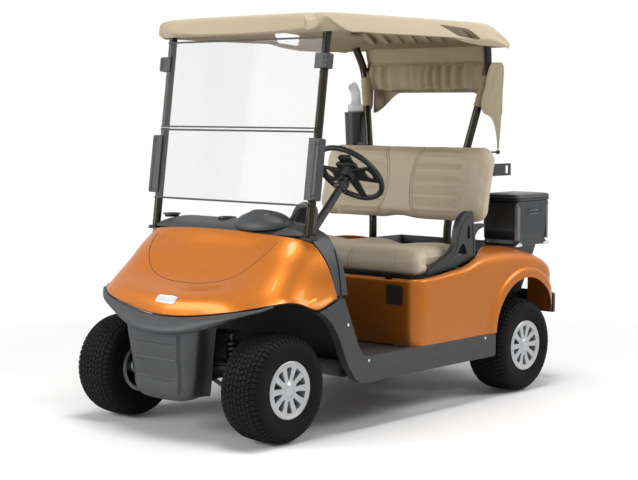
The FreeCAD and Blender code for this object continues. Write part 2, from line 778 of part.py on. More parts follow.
def pedals():
    """The brake and accelerator pads on their stems from the toe board."""
    low = V(ahead(-404), 0, 372)
    high = V(ahead(-322), 0, 585)
    up = (high - low).normalize()
    out = V(-up.z, 0, up.x)
    turn = FreeCAD.Rotation(V(0, 1, 0), math.degrees(math.atan2(up.x, up.z)))
    pieces = []
    for y, wide, tall in ((225, 92, 70), (385, 58, 120)):
        pad = box((-4, 4), (-wide / 2, wide / 2), (-tall / 2, tall / 2))
        stem = rod((4, 0, 0), (48 - floor_wall / 2 - 0.3, 0, 0), 9)
        pedal = fused([pad, stem])
        centre = low + up * 110 + out * 48
        pedal.Placement = FreeCAD.Placement(V(centre.x, y, centre.z), turn)
        pieces.append(pedal)
    return Part.makeCompound(pieces)


def body_rows():
    """Rows of the rear body from its lower edge up over the shoulders, half the cart wide."""
    stations = [
        (865, 0, 600, 851, 0, 620), (865, 140, 600, 851, 140, 620), (865, 270, 600, 851, 270, 620),
        (865, 380, 600, 851, 380, 620), (865, 450, 600, 851, 450, 620),
        (865, 490, 600, 851, 490, 620), (865, 515, 600, 851, 515, 620),
        (860, 542, 600, 847, 536, 620), (845, 564, 600, 835, 554, 621),
        (822, 580, 600, 817, 566, 621), (795, 585, 600, 795, 568, 622),
        (750, 585, 602, 750, 566, 624), (680, 585, 605, 680, 563, 629),
        (570, 585, 612, 570, 559, 640), (460, 585, 624, 460, 553, 655),
        (370, 585, 642, 370, 545, 684), (280, 585, 655, 280, 505, 710),
        (180, 585, 662, 180, 467, 722), (60, 585, 658, 60, 459, 716),
        (-60, 585, 645, -60, 459, 698), (-160, 584, 622, -152, 462, 670),
        (-235, 574, 590, -205, 462, 640), (-280, 540, 565, -240, 455, 610),
        (-290, 480, 556, -258, 440, 592), (-290, 410, 552, -266, 405, 578),
    ]
    rows = [[] for level in range(8)]
    for x, y, shoulder, top_x, top_y, top in stations:
        rise = top - shoulder
        levels = [
            (0, sill_top + 0.3), (0, sill_top + (shoulder - sill_top) * 0.4), (0, shoulder - 75),
            (0, shoulder - 35), (0.01, shoulder - 10), (0.12, shoulder + rise * 0.35),
            (0.45, shoulder + rise * 0.78), (1, top),
        ]
        for row, (share, z) in zip(rows, levels):
            row.append((astern(x + (top_x - x) * share), y + (top_y - y) * share, z))
    half = evened([rail(row, 61) for row in rows], 13)
    return whole_rows([[flared(place) for place in row] for row in half])


def flared(place):
    """The place moved out where the body stands proud round the wheel arch."""
    away = math.hypot(place.x - astern(-arch_centre_back), place.z - axle_z - arch_centre_up)
    proud = flare_proud * eased(arch_radius + 84, arch_radius + 40, away)
    return V(place.x, place.y + proud * eased(500, 560, place.y), place.z)


def rear_body():
    """The painted rear body in one piece: seat apron, sides and rear wings, with both arches."""
    tub = shell(body_rows(), panel_wall)
    centre = (astern(-arch_centre_back), axle_z + arch_centre_up)
    cutter = rod((centre[0], -700, centre[1]), (centre[0], 700, centre[1]), arch_radius)
    hole = cutter.cut(box((astern(-400), astern(400)), (-400, 400), (0, 900)))
    under = box((astern(-500), centre[0]), (-700, 700), (0, centre[1] - 20))
    return tub.cut([hole, under])


def charge_port_cover():
    """The square cover over the charging socket, on the seat apron."""
    face = astern(865) + 0.3
    return box((face, face + 4), (412, 506), (501, 591))


def hip_restraint():
    """The driver's side arm beside the seat that also carries the backrest."""
    outline = [
        (astern(718), 624), (astern(700), 646), (astern(600), 690), (astern(530), 722),
        (astern(500), 758), (astern(482), 838), (astern(440), 892), (astern(395), 908),
        (astern(362), 905), (astern(356), 841.7), (astern(190), 841.7), (astern(192), 800),
        (astern(343), 776), (astern(343), 622), (astern(367), 622), (astern(372), 682),
        (astern(460), 657),
        (astern(600), 636),
    ]
    arm = side_profile(outline, 500, 530)
    window = rod((astern(440), 480, 722), (astern(440), 560, 722), 22)
    slot = box((astern(388), astern(412)), (480, 560), (775, 838))
    return arm.cut([window, slot])


def backrest_line(z, depth):
    """A place in the side view, behind the front face of the backrest at a height."""
    lean = (285 - 205) / (1186 - 837)
    return (astern(285 - lean * (z - 837) - depth), z)


def backrest_rear(z, depth):
    """A place in the side view, behind the rear face of the backrest cushion at a height."""
    lean = (206 - 150) / (1200 - 846)
    return (astern(206 - lean * (z - 846) - depth), z)


def backrest_cushion():
    """The backrest cushion: a plain rounded form."""
    outline = [backrest_line(862, 0), backrest_line(1190, 0), backrest_line(1212, 24),
               backrest_rear(1206, 0), backrest_rear(842, 0), backrest_line(842, 18)]
    cushion = side_profile(outline, -backrest_half_width, backrest_half_width)
    trim = plan_profile([(astern(300), -520), (astern(300), 520), (astern(232), backrest_half_width),
                         (astern(100), backrest_half_width), (astern(100), -backrest_half_width),
                         (astern(232), -backrest_half_width)], 800, 1300)
    return cushion.common(trim)


def backrest_shell():
    """The moulded shell behind the backrest, with the knob that holds the cover's strap."""
    outline = [backrest_rear(842, 0.3), backrest_rear(1204, 0.3), backrest_rear(1204, 8.3),
               backrest_rear(842, 8.3)]
    board = side_profile(outline, -548, 548)
    knob_y = 424
    knob_place = V(astern(12), knob_y, knob_z)
    stem = rod((backrest_rear(knob_z, 5)[0], knob_y, knob_z), tuple(knob_place), 5)
    return fused([board, stem, Part.makeSphere(knob_radius, knob_place)])


def front_struts():
    """The two front roof struts with their feet."""
    foot_x, head_x = -202, -320
    y = front_strut_y
    tube = swept_tube([(ahead(foot_x), y, 850), (ahead(-299), y, 1560), (ahead(head_x), y, 1721)],
                      strut_radius, 400)
    flange = box((ahead(foot_x - 30), ahead(foot_x + 30)), (y - 26, y + 26), (845.3, 852))
    return both_sides(fused([tube, flange]))


def rear_struts():
    """The two rear roof struts with the bow that holds the bag cover."""
    route = [(astern(178), 250, rail_bottom + kick_up + rail_height + 1.1), (astern(175), 236, 820),
             (astern(115), 316, 1214), (astern(58), 393, 1583), (astern(104), 418, 1701)]
    tube = swept_tube(route, rear_strut_radius, 60)
    bow = swept_tube([(astern(61), 395, 1592), (astern(-15), 398, 1600), (astern(-15), -398, 1600),
                      (astern(61), -395, 1592)], 8, 36)
    return welded([tube, mirrored(tube), bow])


def roof_form(inset):
    """The roof's outer form, or a smaller one inside it."""
    front = ahead(roof_front - inset)
    rear = astern(roof_rear + 20 + inset)
    half = roof_half_width - inset
    plan = [(front, 0), (front - 8, 300), (front - 30, 440), (front - 75, half - 22),
            (front - 160, half), (rear + 420, half), (rear + 150, half - 26),
            (rear + 50, half - 70), (rear + 12, 420), (rear, 200)]
    plan = plan + [(x, -y) for x, y in plan[:0:-1]]
    column = plan_profile(plan, 1600, 1900)
    drop = inset * 4 if inset else 0
    top = [(front + 1, 1728 - inset), (front - 30, 1772 - inset), (front - 95, 1799 - inset),
           (front - 300, 1812 - inset), (front - 700, 1818 - inset), (rear + 350, 1814 - inset),
           (rear + 120, 1800 - inset), (rear + 40, 1772 - inset), (rear - 1, 1726 - inset)]
    lip = [(rear - 1, 1690 - drop), (rear + 90, 1687 - drop), (rear + 250, 1682 - drop),
           (rear + 420, 1684 - drop), (rear + 560, 1697 - drop), (rear + 650, 1714 - drop),
           (rear + 760, 1731 - drop), (rear + 1020, 1740 - drop), (front - 180, 1736 - drop),
           (front + 1, 1712 - drop)]
    side = side_profile(top + lip, -700, 700)
    crown = [(0, 1822 - inset), (250, 1817 - inset), (430, 1804 - inset), (510, 1790 - inset),
             (half - 16, 1768 - inset), (half + 1, 1735 - inset), (half + 1, 1600)]
    crown = [(-y, z) for y, z in crown[:0:-1]] + crown
    corners = [V(rear - 10, y, z) for y, z in crown]
    across = Part.Face(Part.makePolygon(corners + corners[:1])).extrude(V(front - rear + 20, 0, 0))
    return column.common(side).common(across)


def roof():
    """The moulded roof, hollow below, with pads over the four struts."""
    outer = roof_form(0)
    pads = []
    for side in (-1, 1):
        pads.append(box((ahead(-350), ahead(-292)),
                        tuple(sorted((side * (front_strut_y - 28), side * (front_strut_y + 28)))),
                        (1724.3, 1850)))
        pads.append(box((astern(74), astern(134)),
                        tuple(sorted((side * 390, side * 446))), (1709.3, 1850)))
    inner_y = roof_half_width - 70
    for side in (-1, 1):
        for place in range(gusset_count):
            x = ahead(-390 - gusset_pitch * place)
            pads.append(box((x - 2, x + 2),
                            tuple(sorted((side * inner_y, side * (roof_half_width + 5)))),
                            (1744, 1850)))
    shape = outer.cut(roof_form(roof_wall)).fuse([pad.common(outer) for pad in pads])
    holds = []
    for side in (-1, 1):
        corners = [(astern(631), 1774), (astern(415), 1762), (astern(373), 1708),
                   (astern(545), 1721)]
        hold = side_profile(corners, side * (roof_half_width - 90), side * (roof_half_width + 20))
        holds.append(rounded(hold, 14))
    return shape.cut(holds)


def strut_line(z, forward):
    """A place in the side view, in front of the front struts' axis at a height."""
    lean = 116 / 854
    square = math.hypot(1, lean)
    return (ahead(-204 - lean * (z - 859) + forward / square), z + forward * lean / square)


def pane(low, high, near, far, y0, y1):
    """A slab that leans with the front struts."""
    corners = [strut_line(low, near), strut_line(low, far), strut_line(high, far),
               strut_line(high, near)]
    return side_profile(corners, y0, y1)


def windshield():
    """The clear screen in two panes, in front of the struts."""
    near = strut_radius + 3
    far = near + glass_wall
    return Part.makeCompound([
        pane(975, 1292, near, far, -glass_half_width, glass_half_width),
        pane(1300, 1690, near, far, -glass_half_width, glass_half_width),
    ])


def windshield_clips():
    """The clips that hold the screen to the struts."""
    glass_near = strut_radius + 3
    glass_far = glass_near + glass_wall + 0.3
    clips = []
    for low, high in ((1000, 1262), (1556, 1621)):
        front = pane(low, high, glass_far, glass_far + 8, 450, 532)
        wrap = pane(low, high, -strut_radius, glass_far + 8, front_strut_y + strut_radius + 0.4, 532)
        clips.append(fused([front, wrap]))
    pieces = []
    for clip in clips:
        pieces += [clip, mirrored(clip)]
    return Part.makeCompound(pieces)


def seat_cushion():
    """The seat cushion: a plain rounded form, wider ahead of the hip restraints."""
    front = astern(835)
    rear = astern(374)
    shoulder = astern(728)
    plan = [(front, 0), (front, 480), (front - 22, 535), (front - 60, seat_half_width),
            (shoulder, seat_half_width), (shoulder - 12, seat_rear_half_width),
            (rear, seat_rear_half_width)]
    plan = plan + [(x, -y) for x, y in plan[:0:-1]]
    block = plan_profile(plan, cushion_bottom, cushion_bottom + 124)
    crown = [(front + 1, 0), (front + 1, 54), (front - 22, 86), (front - 75, 106),
             (front - 250, 102), (rear + 30, 92), (rear - 1, 76), (rear - 1, 0)]
    side = side_profile([(x, cushion_bottom + rise) for x, rise in crown], -600, 600)
    return block.common(side)


def seat_pan():
    """The board under the seat cushion, with its two hinge eyes."""
    board = box((astern(385), astern(800)), (-468, 468), (seat_hinge_height - 7,
                                                         cushion_bottom - 0.3))
    pieces = [board]
    bores = []
    hinge_x = astern(365)
    for side in (-1, 1):
        inner, far = sorted((side * 307, side * 353))
        pieces.append(rod((hinge_x, inner, seat_hinge_height), (hinge_x, far, seat_hinge_height),
                          9))
        pieces.append(box((hinge_x, astern(390)), (inner, far),
                          (seat_hinge_height - 7, cushion_bottom - 0.3)))
        bores.append(rod((hinge_x, inner - 1, seat_hinge_height),
                         (hinge_x, far + 1, seat_hinge_height), 5.2))
    return fused(pieces).cut(bores)


def lofted_tray(low, high, wall, floor):
    """An open tray with flared walls; low and high are (rear, front, half width, height)."""
    def outline(rear, front, half, z, inset):
        corners = [V(rear + inset, -half + inset, z), V(front - inset, -half + inset, z),
                   V(front - inset, half - inset, z), V(rear + inset, half - inset, z)]
        return Part.makePolygon(corners + corners[:1])
    outer = Part.makeLoft([outline(*low, 0), outline(*high, 0)], True, True)
    raised = (low[0], low[1], low[2], low[3] + floor)
    cap = (high[0], high[1], high[2], high[3] + 1)
    inner = Part.makeLoft([outline(*raised, wall), outline(*cap, wall)], True, True)
    return outer.cut(inner)


def bag_well():
    """The tray that carries the golf bags behind the seat, with the shelf for the cooler."""
    floor_z = rail_bottom + rail_height + kick_up + 0.3
    tray = lofted_tray((astern(-300), astern(140), 358, floor_z),
                       (astern(-312), astern(150), 440, 700), 5, 6)
    rib = box((astern(-290), astern(130)), (-4, 4), (floor_z, floor_z + 60))
    shelf = box((astern(-290), astern(-30)), (300, 436), (700, 708.5))
    web = box((astern(-290), astern(-30)), (424, 436), (640, 702))
    return fused([tray, rib, shelf, web])


def rear_bumper():
    """The rear bumper bar on its two stays from the frame."""
    plan = [(-445, 0), (-445, 300), (-432, 430), (-395, 505), (-345, 532), (-345, 514),
            (-385, 490), (-412, 420), (-422, 300), (-422, 0)]
    half = plan_profile([(astern(x), y) for x, y in plan], 352, 448)
    stays = []
    for side in (-1, 1):
        inner, far = sorted((side * (rail_y - 20), side * (rail_y + 20)))
        stays.append(box((astern(-424), astern(-330.3)), (inner, far), (390, 430)))
    return fused([half, mirrored(half)] + stays)


def bag_rack():
    """The upper bag support: a bar on the rear struts with a channel-shaped arm at each end."""
    y = 245
    low, high = 1044, 1106
    back, front = astern(-365), astern(48)
    pieces = [box((astern(20), front), (-y, y), (low, high))]
    for side in (-1, 1):
        arm = box((back, front), tuple(sorted((side * (y - 22), side * y))), (low, high))
        hollow = box((back - 1, astern(20)), tuple(sorted((side * (y - 23), side * (y - 3)))),
                     (low + 3, high - 3))
        slot = box((back + 23, back + 47), tuple(sorted((side * (y - 4), side * (y + 1)))),
                   (low + 12, high - 11))
        pieces.append(arm.cut([hollow, slot]))
        near = strut_at(high - 8)
        pieces.append(box((astern(30), astern(near[0] - rear_strut_radius - 1.0)),
                          tuple(sorted((side * (y - 10), side * (near[1] + 16)))),
                          (low + 8, high - 8)))
    return fused(pieces)


def strut_at(z):
    """Where the rear strut's axis passes a height: distance from the rear axle, and y."""
    share = (z - 820) / (1214 - 820)
    return (175 + (115 - 175) * share, 236 + (316 - 236) * share)


def bag_cover():
    """The fabric cover over the bags: top, back and side flaps, open in front. The driver's flap
    has a strap down to its knob and the passenger's ends behind the sand bottle."""
    side_in = 421
    side_out = side_in + cover_wall
    back_face = astern(-24.3)
    top = box((back_face, astern(36)), (-side_out, side_out), (1608.3, 1608.3 + cover_wall))
    back = box((back_face - cover_wall, back_face), (-side_out, side_out),
               (1475, 1608.3 + cover_wall))
    upper = [(-24.3 - cover_wall, 1545), (-24.3 - cover_wall, 1608.3 + cover_wall),
             (74, 1608.3 + cover_wall), (89, 1594), (101, 1571)]
    strap_end = knob_z + knob_radius + 0.4
    with_strap = upper + [(158, 1402), (136, 1371), (62, 1342), (30, 1283), (20, strap_end),
                          (4, strap_end), (-4, 1283), (-14, 1342), (-8, 1400)]
    short = upper + [(92, 1548), (28, 1524), (28, 1402), (8, 1380), (-8, 1400)]
    flap = side_profile([(astern(x), z) for x, z in with_strap], side_in, side_out)
    other = side_profile([(astern(x), z) for x, z in short], -side_out, -side_in)
    return fused([top, back, flap, other])


def sand_bottle_holder():
    """The open cup for the sand bottle, clamped to the passenger's rear strut."""
    x, y = astern(80), -435
    cup = Part.makeCone(48, 60, 236, V(x, y, 1132))
    hollow = Part.makeCone(45, 57, 236, V(x, y, 1136))
    near = strut_at(1216)
    clamp = box((x - 4, x + 36), (y + 30, -(near[1] + rear_strut_radius + 1.0)), (1188, 1216))
    return fused([cup, clamp]).cut(hollow)


def sand_bottle():
    """The translucent bottle with its neck and angled spout."""
    x, y = astern(80), -435
    body = Part.makeCylinder(43, 300, V(x, y, 1136.3))
    shoulder = Part.makeCone(43, 20, 30, V(x, y, 1436))
    neck = Part.makeCylinder(20, 18, V(x, y, 1466))
    spout = rod((x, y, 1478), (x + 26, y, 1512), 9)
    return fused([body, shoulder, neck, spout])


def cooler_outline(z, inset):
    """The cooler's outline in plan at a height, drawn in by an inset."""
    flare = (z - 709) / 30
    x0, x1 = astern(-296) - flare + inset, astern(-32) + flare - inset
    y0, y1 = 306 - flare / 2 + inset, 516 + flare - inset
    cut = 22
    corners = [(x0 + cut, y0), (x1 - cut, y0), (x1, y0 + cut), (x1, y1 - cut), (x1 - cut, y1),
               (x0 + cut, y1), (x0, y1 - cut), (x0, y0 + cut)]
    points = [V(x, y, z) for x, y in corners]
    return Part.makePolygon(points + points[:1])


def cooler():
    """The insulated box at the driver's rear corner."""
    outer = Part.makeLoft([cooler_outline(709, 0), cooler_outline(932, 0)], True, True)
    inner = Part.makeLoft([cooler_outline(727, 14), cooler_outline(940, 14)], True, True)
    grip = rounded(side_profile([(astern(-214), 866), (astern(-114), 866), (astern(-114), 890),
                                 (astern(-214), 890)], 512, 540), 8)
    return outer.cut([inner, grip])


def cooler_lid():
    """The cooler's lid."""
    return Part.makeLoft([cooler_outline(932.4, -4), cooler_outline(966, -2)], True, True)


nodes = {
    "front_cowl": front_cowl,
    "front_bumper": front_bumper,
    "dash": dash,
    "steering_wheel": steering_wheel,
    "steering_column": steering_column,
    "pedals": pedals,
    "rear_body": rear_body,
    "charge_port_cover": charge_port_cover,
    "hip_restraints": lambda: both_sides(hip_restraint()),
    "backrest_cushion": backrest_cushion,
    "backrest_shell": backrest_shell,
    "front_struts": front_struts,
    "rear_struts": rear_struts,
    "roof": roof,
    "windshield": windshield,
    "windshield_clips": windshield_clips,
    "seat_cushion": seat_cushion,
    "seat_pan": seat_pan,
    "bag_well": bag_well,
    "rear_bumper": rear_bumper,
    "bag_rack": bag_rack,
    "bag_cover": bag_cover,
    "sand_bottle_holder": sand_bottle_holder,
    "sand_bottle": sand_bottle,
    "cooler": cooler,
    "cooler_lid": cooler_lid,
    "frame": frame,
    "front_suspension": front_suspension,
    "rear_axle": rear_axle,
    "rear_springs": rear_springs,
    "battery_block": battery_block,
    "floor_pan": floor_pan,
    "rocker_left": lambda: rocker(1),
    "rocker_right": lambda: rocker(-1),
    "knuckle_left": knuckle_left,
    "knuckle_right": lambda: mirrored(knuckle_left()),
    "steering_rack": steering_rack,
}
for end, track in (("front", front_track), ("rear", rear_track)):
    for side, name in ((1, "left"), (-1, "right")):
        y = side * track / 2
        nodes["tyre_" + end + "_" + name] = lambda y=y, end=end: tyre(y, end)
        nodes["rim_" + end + "_" + name] = lambda y=y, end=end: rim(y, end)

os.makedirs("parts", exist_ok=True)
for name, make in nodes.items():
    shape = make()
    print(name, shape.isValid(), len(shape.Solids), round(shape.Volume / 1e6, 2), flush=True)
    shape.exportStep("parts/" + name + ".step")
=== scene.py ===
import json
import math

import bmesh
import bpy
import numpy as np
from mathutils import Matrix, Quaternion, Vector


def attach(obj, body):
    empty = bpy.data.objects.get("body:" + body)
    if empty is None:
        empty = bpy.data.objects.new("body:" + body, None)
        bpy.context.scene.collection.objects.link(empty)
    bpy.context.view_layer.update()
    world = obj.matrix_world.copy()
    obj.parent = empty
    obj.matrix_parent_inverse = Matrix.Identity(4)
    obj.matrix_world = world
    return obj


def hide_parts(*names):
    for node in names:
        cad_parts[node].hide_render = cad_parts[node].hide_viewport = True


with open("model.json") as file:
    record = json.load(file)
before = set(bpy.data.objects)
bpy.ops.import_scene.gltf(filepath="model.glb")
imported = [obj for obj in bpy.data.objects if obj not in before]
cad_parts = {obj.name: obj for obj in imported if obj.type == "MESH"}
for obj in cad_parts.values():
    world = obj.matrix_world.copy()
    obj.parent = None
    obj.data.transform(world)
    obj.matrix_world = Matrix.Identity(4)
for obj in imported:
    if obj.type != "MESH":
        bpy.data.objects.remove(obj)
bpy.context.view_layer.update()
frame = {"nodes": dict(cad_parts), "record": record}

bl_info = {
    "name": "Golf cart",
    "version": (1, 0, 0),
    "blender": (4, 5, 0),
    "location": "View3D > Sidebar > Golf cart",
    "description": "Panels, wheels, seats and cover of a golf cart, built round its solids",
    "category": "Add Mesh",
}

MM = 0.001
FRONT_AXLE = 925.0
REAR_AXLE = -745.0
TYRE_RADIUS = 228.6
FRONT_TRACK = 904.0
REAR_TRACK = 984.0
STRUT_Y = 474.0
WHEEL_CENTRE = (FRONT_AXLE - 709.0, 269.0, 1097.0)
WHEEL_TILT = math.radians(44.6 - 90.0)


# Places and curves, in millimetres until a mesh is made

def ahead(x):
    """A place along the cart, measured forward from the front axle."""
    return FRONT_AXLE + x


def astern(x):
    """A place along the cart, measured forward from the rear axle."""
    return REAR_AXLE + x


def from_front(places):
    """Rows whose first number is measured from the front axle, as rows in the cart's frame."""
    rows = np.array(places, float)
    rows[..., 0] += FRONT_AXLE
    return rows


def from_rear(places):
    """Rows whose first number is measured from the rear axle, as rows in the cart's frame."""
    rows = np.array(places, float)
    rows[..., 0] += REAR_AXLE
    return rows


def soft_step(low, high, value):
    """0 below low, 1 above high, and 3t^2 - 2t^3 between them."""
    t = np.clip((np.asarray(value, float) - low) / (high - low), 0, 1)
    return t * t * (3 - 2 * t)


def bump_at(centre, half, value):
    """1 at the centre and 0 beyond half a width from it, as a raised cosine."""
    t = np.clip(np.abs(np.asarray(value, float) - centre) / half, 0, 1)
    return 0.5 + 0.5 * np.cos(np.pi * t)


def spline(places, count):
    """Natural cubic through the places along axis 0, with the summed chord as its parameter.

    Each span is the usual cubic of its two ends and their second derivatives, which come from
    the tridiagonal system that keeps the slope even. Returns count places, evenly spaced.
    """
    p = np.asarray(places, float)
    n = len(p)
    step = np.linalg.norm(np.diff(p, axis=0), axis=-1).reshape(n - 1, -1).mean(axis=1)
    t = np.concatenate([[0.0], np.cumsum(np.maximum(step, 1e-6))])
    h = np.diff(t)
    flat = p.reshape(n, -1)
    system = np.eye(n)
    i = np.arange(1, n - 1)
    system[i, i - 1] = h[:-1]
    system[i, i] = 2 * (h[:-1] + h[1:])
    system[i, i + 1] = h[1:]
    slope = np.diff(flat, axis=0) / h[:, None]
    right = np.zeros_like(flat)
    right[1:-1] = 6 * np.diff(slope, axis=0)
    bend = np.linalg.solve(system, right)
    s = np.linspace(0, t[-1], count)
    k = np.clip(np.searchsorted(t, s, side="right") - 1, 0, n - 2)
    a = ((t[k + 1] - s) / h[k])[:, None]
    b = ((s - t[k]) / h[k])[:, None]
    out = a * flat[k] + b * flat[k + 1]
    out += ((a ** 3 - a) * bend[k] + (b ** 3 - b) * bend[k + 1]) * (h[k] ** 2)[:, None] / 6
    return out.reshape((count,) + p.shape[1:])


def closed_spline(places, count):
    """A smooth closed curve: the cubic run twice round and its middle lap kept."""
    p = np.asarray(places, float)
    laps = np.concatenate([p, p, p, p[:1]])
    long_run = spline(laps, 3 * count * 4 + 1)
    chord = np.linalg.norm(np.diff(laps, axis=0), axis=1)
    total = chord.sum()
    start = chord[:len(p)].sum() / total
    stop = chord[:2 * len(p)].sum() / total
    at = start + (stop - start) * np.arange(count) / count
    index = at * (len(long_run) - 1)
    low = index.astype(int)
    share = (index - low)[:, None]
    return long_run[low] * (1 - share) + long_run[low + 1] * share


def polyline(places, count):
    """count places spaced evenly along straight runs."""
    p = np.asarray(places, float)
    t = np.concatenate([[0], np.cumsum(np.linalg.norm(np.diff(p, axis=0), axis=1))])
    s = np.linspace(0, t[-1], count)
    return np.stack([np.interp(s, t, p[:, c]) for c in range(p.shape[1])], axis=1)


def whole_width(half):
    """Rows that run from the middle to the driver's side, continued to the passenger's side."""
    half = np.asarray(half, float)
    far = half[:, :0:-1] * (1, -1, 1)
    return np.concatenate([far, half], axis=1)


def surface_normals(points):
    """Unit normals of a grid: the cross product of its two central differences."""
    up = np.gradient(points, axis=0)
    along = np.gradient(points, axis=1)
    normal = np.cross(up, along)
    return normal / np.maximum(np.linalg.norm(normal, axis=-1, keepdims=True), 1e-9)


def hash_wave(x, y, scale, seed):
    """A smooth wandering value from -1 to 1: sines of mixed, unrelated directions summed."""
    total = np.zeros(np.broadcast(x, y).shape)
    for i in range(5):
        angle = seed * 1.7 + i * 2.399
        rate = (1 + 0.37 * i) / scale
        total = total + np.sin((x * math.cos(angle) + y * math.sin(angle)) * rate + seed + i * 1.3)
    return total / 5


# Meshes

def linked(name, mesh, material):
    """An object of a mesh, at the origin and in the scene."""
    mesh.materials.append(material)
    obj = bpy.data.objects.new(name, mesh)
    bpy.context.scene.collection.objects.link(obj)
    return obj


def grid_faces(rows, columns, wrap_rows=False, wrap_columns=False):
    """Quads between neighbours of a rows by columns grid, joined round where it wraps."""
    r = np.arange(rows if wrap_rows else rows - 1)
    c = np.arange(columns if wrap_columns else columns - 1)
    r, c = np.meshgrid(r, c, indexing="ij")
    r2, c2 = (r + 1) % rows, (c + 1) % columns
    quads = np.stack([r * columns + c, r * columns + c2, r2 * columns + c2, r2 * columns + c], -1)
    return quads.reshape(-1, 4)


def grid_object(name, points, material, wrap_rows=False, wrap_columns=False, merge=0.0,
                sight=None):
    """An object from a grid of points in millimetres, a quad between each four neighbours.

    Points nearer than merge become one. The faces point outwards, or mostly towards sight.
    """
    points = np.asarray(points, float)
    faces = grid_faces(*points.shape[:2], wrap_rows, wrap_columns).astype(np.int32)
    points = points.astype(np.float32).reshape(-1, 3) * MM
    mesh = bpy.data.meshes.new(name)
    mesh.vertices.add(len(points))
    mesh.vertices.foreach_set("co", points.ravel())
    mesh.loops.add(faces.size)
    mesh.loops.foreach_set("vertex_index", faces.ravel())
    mesh.polygons.add(len(faces))
    mesh.polygons.foreach_set("loop_start", np.arange(len(faces), dtype=np.int32) * 4)
    mesh.update(calc_edges=True)
    mesh.validate()
    mesh.polygons.foreach_set("use_smooth", np.full(len(mesh.polygons), True))
    obj = put_right(linked(name, mesh, material), merge)
    return obj if sight is None else face_outwards(obj, sight)


def put_right(obj, merge=0.0):
    """Merges points nearer than merge, in millimetres, and turns the faces outwards."""
    work = bmesh.new()
    work.from_mesh(obj.data)
    if merge:
        bmesh.ops.remove_doubles(work, verts=work.verts, dist=merge * MM)
    bmesh.ops.recalc_face_normals(work, faces=work.faces)
    work.to_mesh(obj.data)
    work.free()
    return obj


def thick(obj, wall, offset=-1.0):
    """Gives a sheet a wall, inwards from its faces unless the offset says otherwise."""
    modifier = obj.modifiers.new("Wall", "SOLIDIFY")
    modifier.thickness = wall * MM
    modifier.offset = offset
    return settled(obj)


def bevelled(obj, width, segments=3, angle=30):
    """Rounds the edges of a hard-edged piece."""
    modifier = obj.modifiers.new("Edges", "BEVEL")
    modifier.width = width * MM
    modifier.segments = segments
    modifier.limit_method = "ANGLE"
    modifier.angle_limit = math.radians(angle)
    return settled(obj)


def by_angle(obj, angle):
    """Shades smooth except across edges sharper than an angle."""
    work = bmesh.new()
    work.from_mesh(obj.data)
    limit = math.radians(angle)
    sharp = [len(e.link_faces) == 2 and e.calc_face_angle(0) > limit for e in work.edges]
    work.free()
    obj.data.edges.foreach_set("use_edge_sharp", sharp)
    return obj


def extruded(name, outline, axis, near, far, material, holes=()):
    """A plate carried along an axis; its closed outline and holes hold the other two numbers."""
    work = bmesh.new()
    for ring in [outline, *holes]:
        flat = np.insert(np.asarray(ring, float), axis, near, axis=1) * MM
        verts = [work.verts.new(p) for p in flat]
        for a, b in zip(verts, verts[1:] + verts[:1]):
            work.edges.new((a, b))
    filled = bmesh.ops.triangle_fill(work, use_beauty=True, use_dissolve=True, edges=work.edges)
    faces = [g for g in filled["geom"] if isinstance(g, bmesh.types.BMFace)]
    move = Vector((0, 0, 0))
    move[axis] = (far - near) * MM
    grown = bmesh.ops.extrude_face_region(work, geom=faces)
    verts = [g for g in grown["geom"] if isinstance(g, bmesh.types.BMVert)]
    bmesh.ops.translate(work, vec=move, verts=verts)
    bmesh.ops.recalc_face_normals(work, faces=work.faces)
    mesh = bpy.data.meshes.new(name)
    work.to_mesh(mesh)
    work.free()
    return linked(name, mesh, material)


def frames_along(path):
    """Side and up vectors along a path, the side carried on with least turning."""
    path = np.asarray(path, float)
    tangent = np.gradient(path, axis=0)
    tangent /= np.linalg.norm(tangent, axis=1, keepdims=True)
    side = np.zeros_like(path)
    first = np.cross(tangent[0], (0, 0, 1) if abs(tangent[0][2]) < 0.9 else (1, 0, 0))
    side[0] = first / np.linalg.norm(first)
    for i in range(1, len(path)):
        across = side[i - 1] - tangent[i] * np.dot(side[i - 1], tangent[i])
        side[i] = across / np.linalg.norm(across)
    return side, np.cross(tangent, side)


def swept(name, path, section, material, scale=None, ends=True):
    """A closed section carried along a path; its two numbers lie along the side and up vectors."""
    path = np.asarray(path, float)
    section = np.asarray(section, float)
    side, up = frames_along(path)
    size = np.ones(len(path)) if scale is None else np.asarray(scale, float)
    ring = (path[:, None, :]
            + side[:, None, :] * section[None, :, :1] * size[:, None, None]
            + up[:, None, :] * section[None, :, 1:] * size[:, None, None])
    rows, columns = ring.shape[:2]
    points = ring.reshape(-1, 3)
    faces = grid_faces(rows, columns, wrap_columns=True).tolist()
    if ends:
        points = np.concatenate([points, path[:1], path[-1:]])
        near, last = rows * columns, (rows - 1) * columns
        faces += [(near, (c + 1) % columns, c) for c in range(columns)]
        faces += [(near + 1, last + c, last + (c + 1) % columns) for c in range(columns)]
    mesh = bpy.data.meshes.new(name)
    mesh.from_pydata((points * MM).tolist(), [], faces)
    mesh.polygons.foreach_set("use_smooth", np.full(len(mesh.polygons), True))
    return by_angle(put_right(linked(name, mesh, material)), 50)


def circle(radius, count):
    """A round section."""
    a = np.arange(count) * 2 * np.pi / count
    return np.stack([radius * np.cos(a), radius * np.sin(a)], axis=1)


